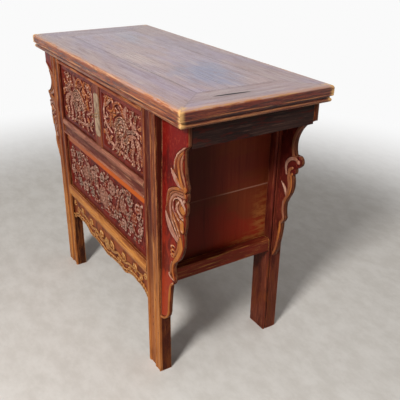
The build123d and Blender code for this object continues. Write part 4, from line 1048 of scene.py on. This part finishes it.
def wing_line(tall, runs):
    """A wing's edge from the top to the foot as points, and for each the depth at its root: the
    deepest so far, as a running mean of the points on both sides."""
    edge = outline((1000, 0), runs, lambda u, v: (WING_W * u, SHOULDER + v * (tall - SHOULDER)), ARC_STEPS)
    down = np.linspace(0, SHOULDER, SHOULDER_STEPS, endpoint=False)
    line = np.vstack([np.stack([np.full(SHOULDER_STEPS, WING_W), down], -1), edge])
    line[:, 0] = np.maximum(line[:, 0], TIP)
    depth = np.maximum.accumulate(line[:, 1])
    evened = 2 * EVEN + 1
    depth = np.convolve(np.pad(depth, EVEN, "edge"), np.ones(evened) / evened, "valid")
    depth[0], depth[-1] = 0.0, tall
    return line, depth


def widths(line, down):
    """How wide a wing is at each depth under the top."""
    return np.interp(down, np.maximum.accumulate(line[:, 1]), line[:, 0])


def wing(side, back, material):
    """One wing: each step's ring runs out over the carved face to the scrolled edge, round its
    eased arrises and back along the plain face. Steps follow the edge from the top to the foot. The
    right front wing has warped: below the end board it leans forward and is thinner."""
    tall = BACK_WING_TALL if back else FRONT_WING_TALL
    warped = side > 0 and not back
    line, depth = wing_line(tall, BACK_WING_RUNS if back else RIGHT_WING_RUNS if warped else LEFT_WING_RUNS)
    out = np.linspace(0, 1, OUT_STEPS)
    a = line[:, :1] * out
    b = depth[:, None] + (line[:, 1] - depth)[:, None] * out ** 2
    if back:
        relief = back_wing_relief(a, b, line)
    else:
        down = np.linspace(0, tall, 200)
        widest, _ = wing_line(tall, RIGHT_WING_RUNS)
        wider = np.minimum(widths(widest, down) / np.maximum(widths(line, down), NARROW), WIDEN)
        relief = front_wing_relief(a, b, 1.0 if warped else np.interp(b, down, wider))
    near = np.clip((line[:, :1] - a) / EASED, 0, 1)
    face = WING_GROUND - relief.height + EASED * (1 - np.sqrt(np.clip(1 - (1 - near) ** 2, 0, 1)))
    down = np.hstack([b, np.stack([line[:, 1], line[:, 1], depth], -1)])
    lean = np.clip((down - LEAN_FROM) / (tall - LEAN_FROM), 0, 1) if warped else 0 * down
    thick = WING_T - THINNED * lean
    plane = (BACK_WING_Y if back else FRONT_WING_Y) - LEAN * lean
    x = np.hstack([a, line[:, :1] * (1.0, EASED_SHARE, 0.0)])
    y = plane + np.hstack([np.maximum(face, 0.0), thick[:, -3:] - (EASED, 0, 0)])
    rows = np.stack([side * (LEG_FACE + x), y, UNDER_TOP - down], -1)
    which = f"{'back' if back else 'front'}_{hand(side)}"
    shell(f"wing_carving_{which}", rows, relief, plane, "frame", f"wing_{which}", material)


# ---------------------------------------------------------------- the table
def dress(material, *nodes):
    """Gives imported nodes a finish."""
    for node in nodes:
        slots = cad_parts[node].data.materials
        for i in range(len(slots)):
            slots[i] = material


def both(*stems):
    """The left and the right node of each stem."""
    return [f"{stem}_{hand(side)}" for stem in stems for side in (-1, 1)]


LEG_FLUTES = (-0.2166, -0.2135)  # a leg's beads and the depth of its flutes, in metres


def build():
    """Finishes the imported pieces, and makes the carved ones."""
    dress(top_lacquer(), "top_panel")
    dress(edge_lacquer("moulded_edge_lacquer_long", "X", 0.0068, 0.8440, "#C4946E", "#3E140F", "#7E3C20",
                       "#A06034", "#B4784A"), "top_rail_front", "top_rail_back")
    dress(edge_lacquer("moulded_edge_lacquer_end", "Y", 0.0042, 0.8462, "#B98C5C", "#2E0C09", "#602418",
                       "#8A4A2C", "#94603A", ((465, -48, TOP_MM), (5.5, 62, 40), -4)), *both("top_end"))
    dress(rubbed_lacquer("leg_lacquer", "Z", "#3E110B", "#6C3622", "#8E5028", "#AC6E38", LEG_FLUTES,
                         "#3A140D", "#3E170E", 0.6, "#AE7444", turned=4.0), "leg_front_right")
    # The left leg's inner face is darker near the foot: painted shade.
    dress(rubbed_lacquer("left_leg_lacquer_painted_inner_shade", "Z", "#4C180E", "#8A4A2A", "#864A22", "#B0723A", LEG_FLUTES,
                         "#3A140D", "#2E130C", 0.7, "#B47C48", turned=2.0), "leg_front_left")
    dress(rubbed_lacquer("back_leg_lacquer", "Z", "#43140F", "#64261C", "#3E1610", "#5C2A1C", wear=0.85,
                         worn="#8C4C30"), *both("leg_back"))
    dress(rubbed_lacquer("top_rail_lacquer", "X", "#4E1A10", "#8A4828", front=(-0.2168, -0.2130),
                         inner="#6A2C18", wear=0.7, worn="#B87E4A"), "front_top_rail")
    dress(rubbed_lacquer("mid_rail_lacquer", "X", "#54241A", "#8A5440", front=(-0.2165, -0.2115),
                         inner="#6A3424", wear=0.7, worn="#AC7C5C"), "front_mid_rail")
    dress(rubbed_lacquer("lower_rail_lacquer", "X", "#7A3E1C", "#B47434", front=(-0.2168, -0.2135),
                         inner="#6A3018", wear=0.8, worn="#C08A54"), "front_lower_rail")
    dress(rubbed_lacquer("post_lacquer", "Z", "#48160F", "#6E2E1C", wear=0.8, worn="#96643E"), "centre_post")
    dress(rubbed_lacquer("side_rail_lacquer", "Y", "#5E1C14", "#762C1C", wear=0.8, worn="#B07E40"),
          *both("side_lower_rail", "side_upper_rail"))
    dress(side_lacquer(), *both("side_lower_board", "side_upper_board"))
    dress(rubbed_lacquer("end_board_lacquer", "Y", "#1E1210", "#2E1D19", wear=0.1, worn="#4A342C", gloss=0.5),
          *both("end_board"))
    dress(rubbed_lacquer("back_rail_lacquer", "X", "#3C1A12", "#5A2E20", wear=0.4, worn="#8A5C40", gloss=0.5),
          "back_lower_rail", "back_upper_rail")
    dress(dry_wood("dry_back_boards", "#8A6548", "#5A3F2C"), "back_lower_board", "back_upper_board")
    dress(dry_wood("dry_floor_boards", "#94714F", "#5E4430"), "carcase_floor")
    dress(aged_brass(), "lock_plate", "lock_eye")
    # Each carved finish's pale ridge colour is wear and a painted highlight in one.
    tones = ["#602612", "#7E3E1E", "#8E5024", "#784026", "#5C3C2C", "#64463A", "#7A4C3A", "#8C6050"]
    door_finish = carved_lacquer("carved_door_lacquer", "#5E2018", tones, 7.7, "#CCA48E", 0.8)
    for side in (1, -1):
        door(side, door_finish)
        pivots(side, door_finish)
    tones = ["#66281A", "#7C3E24", "#6C3424", "#664638", "#5A483C", "#70483A", "#7E5242", "#8A6250"]
    # The band colour at the panel's top is painted light: lighter and more orange, as a face that looks up.
    carved_panel(carved_lacquer("carved_panel_lacquer", "#601A12", tones, 6.4, "#B49080", 0.8,
                                painted_light_margin="#A24A14"))
    tones = ["#74401C", "#8E5226", "#9C602C", "#80562E", "#8E5C30", "#A06834", "#8A6438", "#AC7444"]
    carved_apron(carved_lacquer("carved_apron_lacquer", "#7C3C1A", tones, 3.2, "#CE9C66"))
    tones = ["#4E2012", "#6A2A16", "#8A4C24", "#9A5E2C", "#7C4428", "#7C4E36", "#8C5C4A", "#A07C6C"]
    front = carved_lacquer("carved_wing_lacquer", "#64100C", tones, 4.2, "#C8A08A", 0.8, low_ground="#8A3018",
                           root=True)
    back = carved_lacquer("carved_back_wing_lacquer", "#501814", tones, 4.2, "#C8A08A", 0.8,
                          low_ground="#58281A")
    for side in (1, -1):
        wing(side, False, front)
        wing(side, True, back)


bpy.context.scene.view_settings.view_transform = "Standard"
place_camera()
dress_world()
lay_floor()
softbox("key", (1.45, -2.2, 1.87), 3.6, 0.7, 150)
softbox("fill", (-1.6, -2.4, 1.2), 4.0, 2.4, 12)
softbox("over", (0.1, 0.2, 1.0), 3.4, 2.4, 13)
softbox("back", (0.4, 2.6, 0.8), 4.0, 1.6, 28)
build()
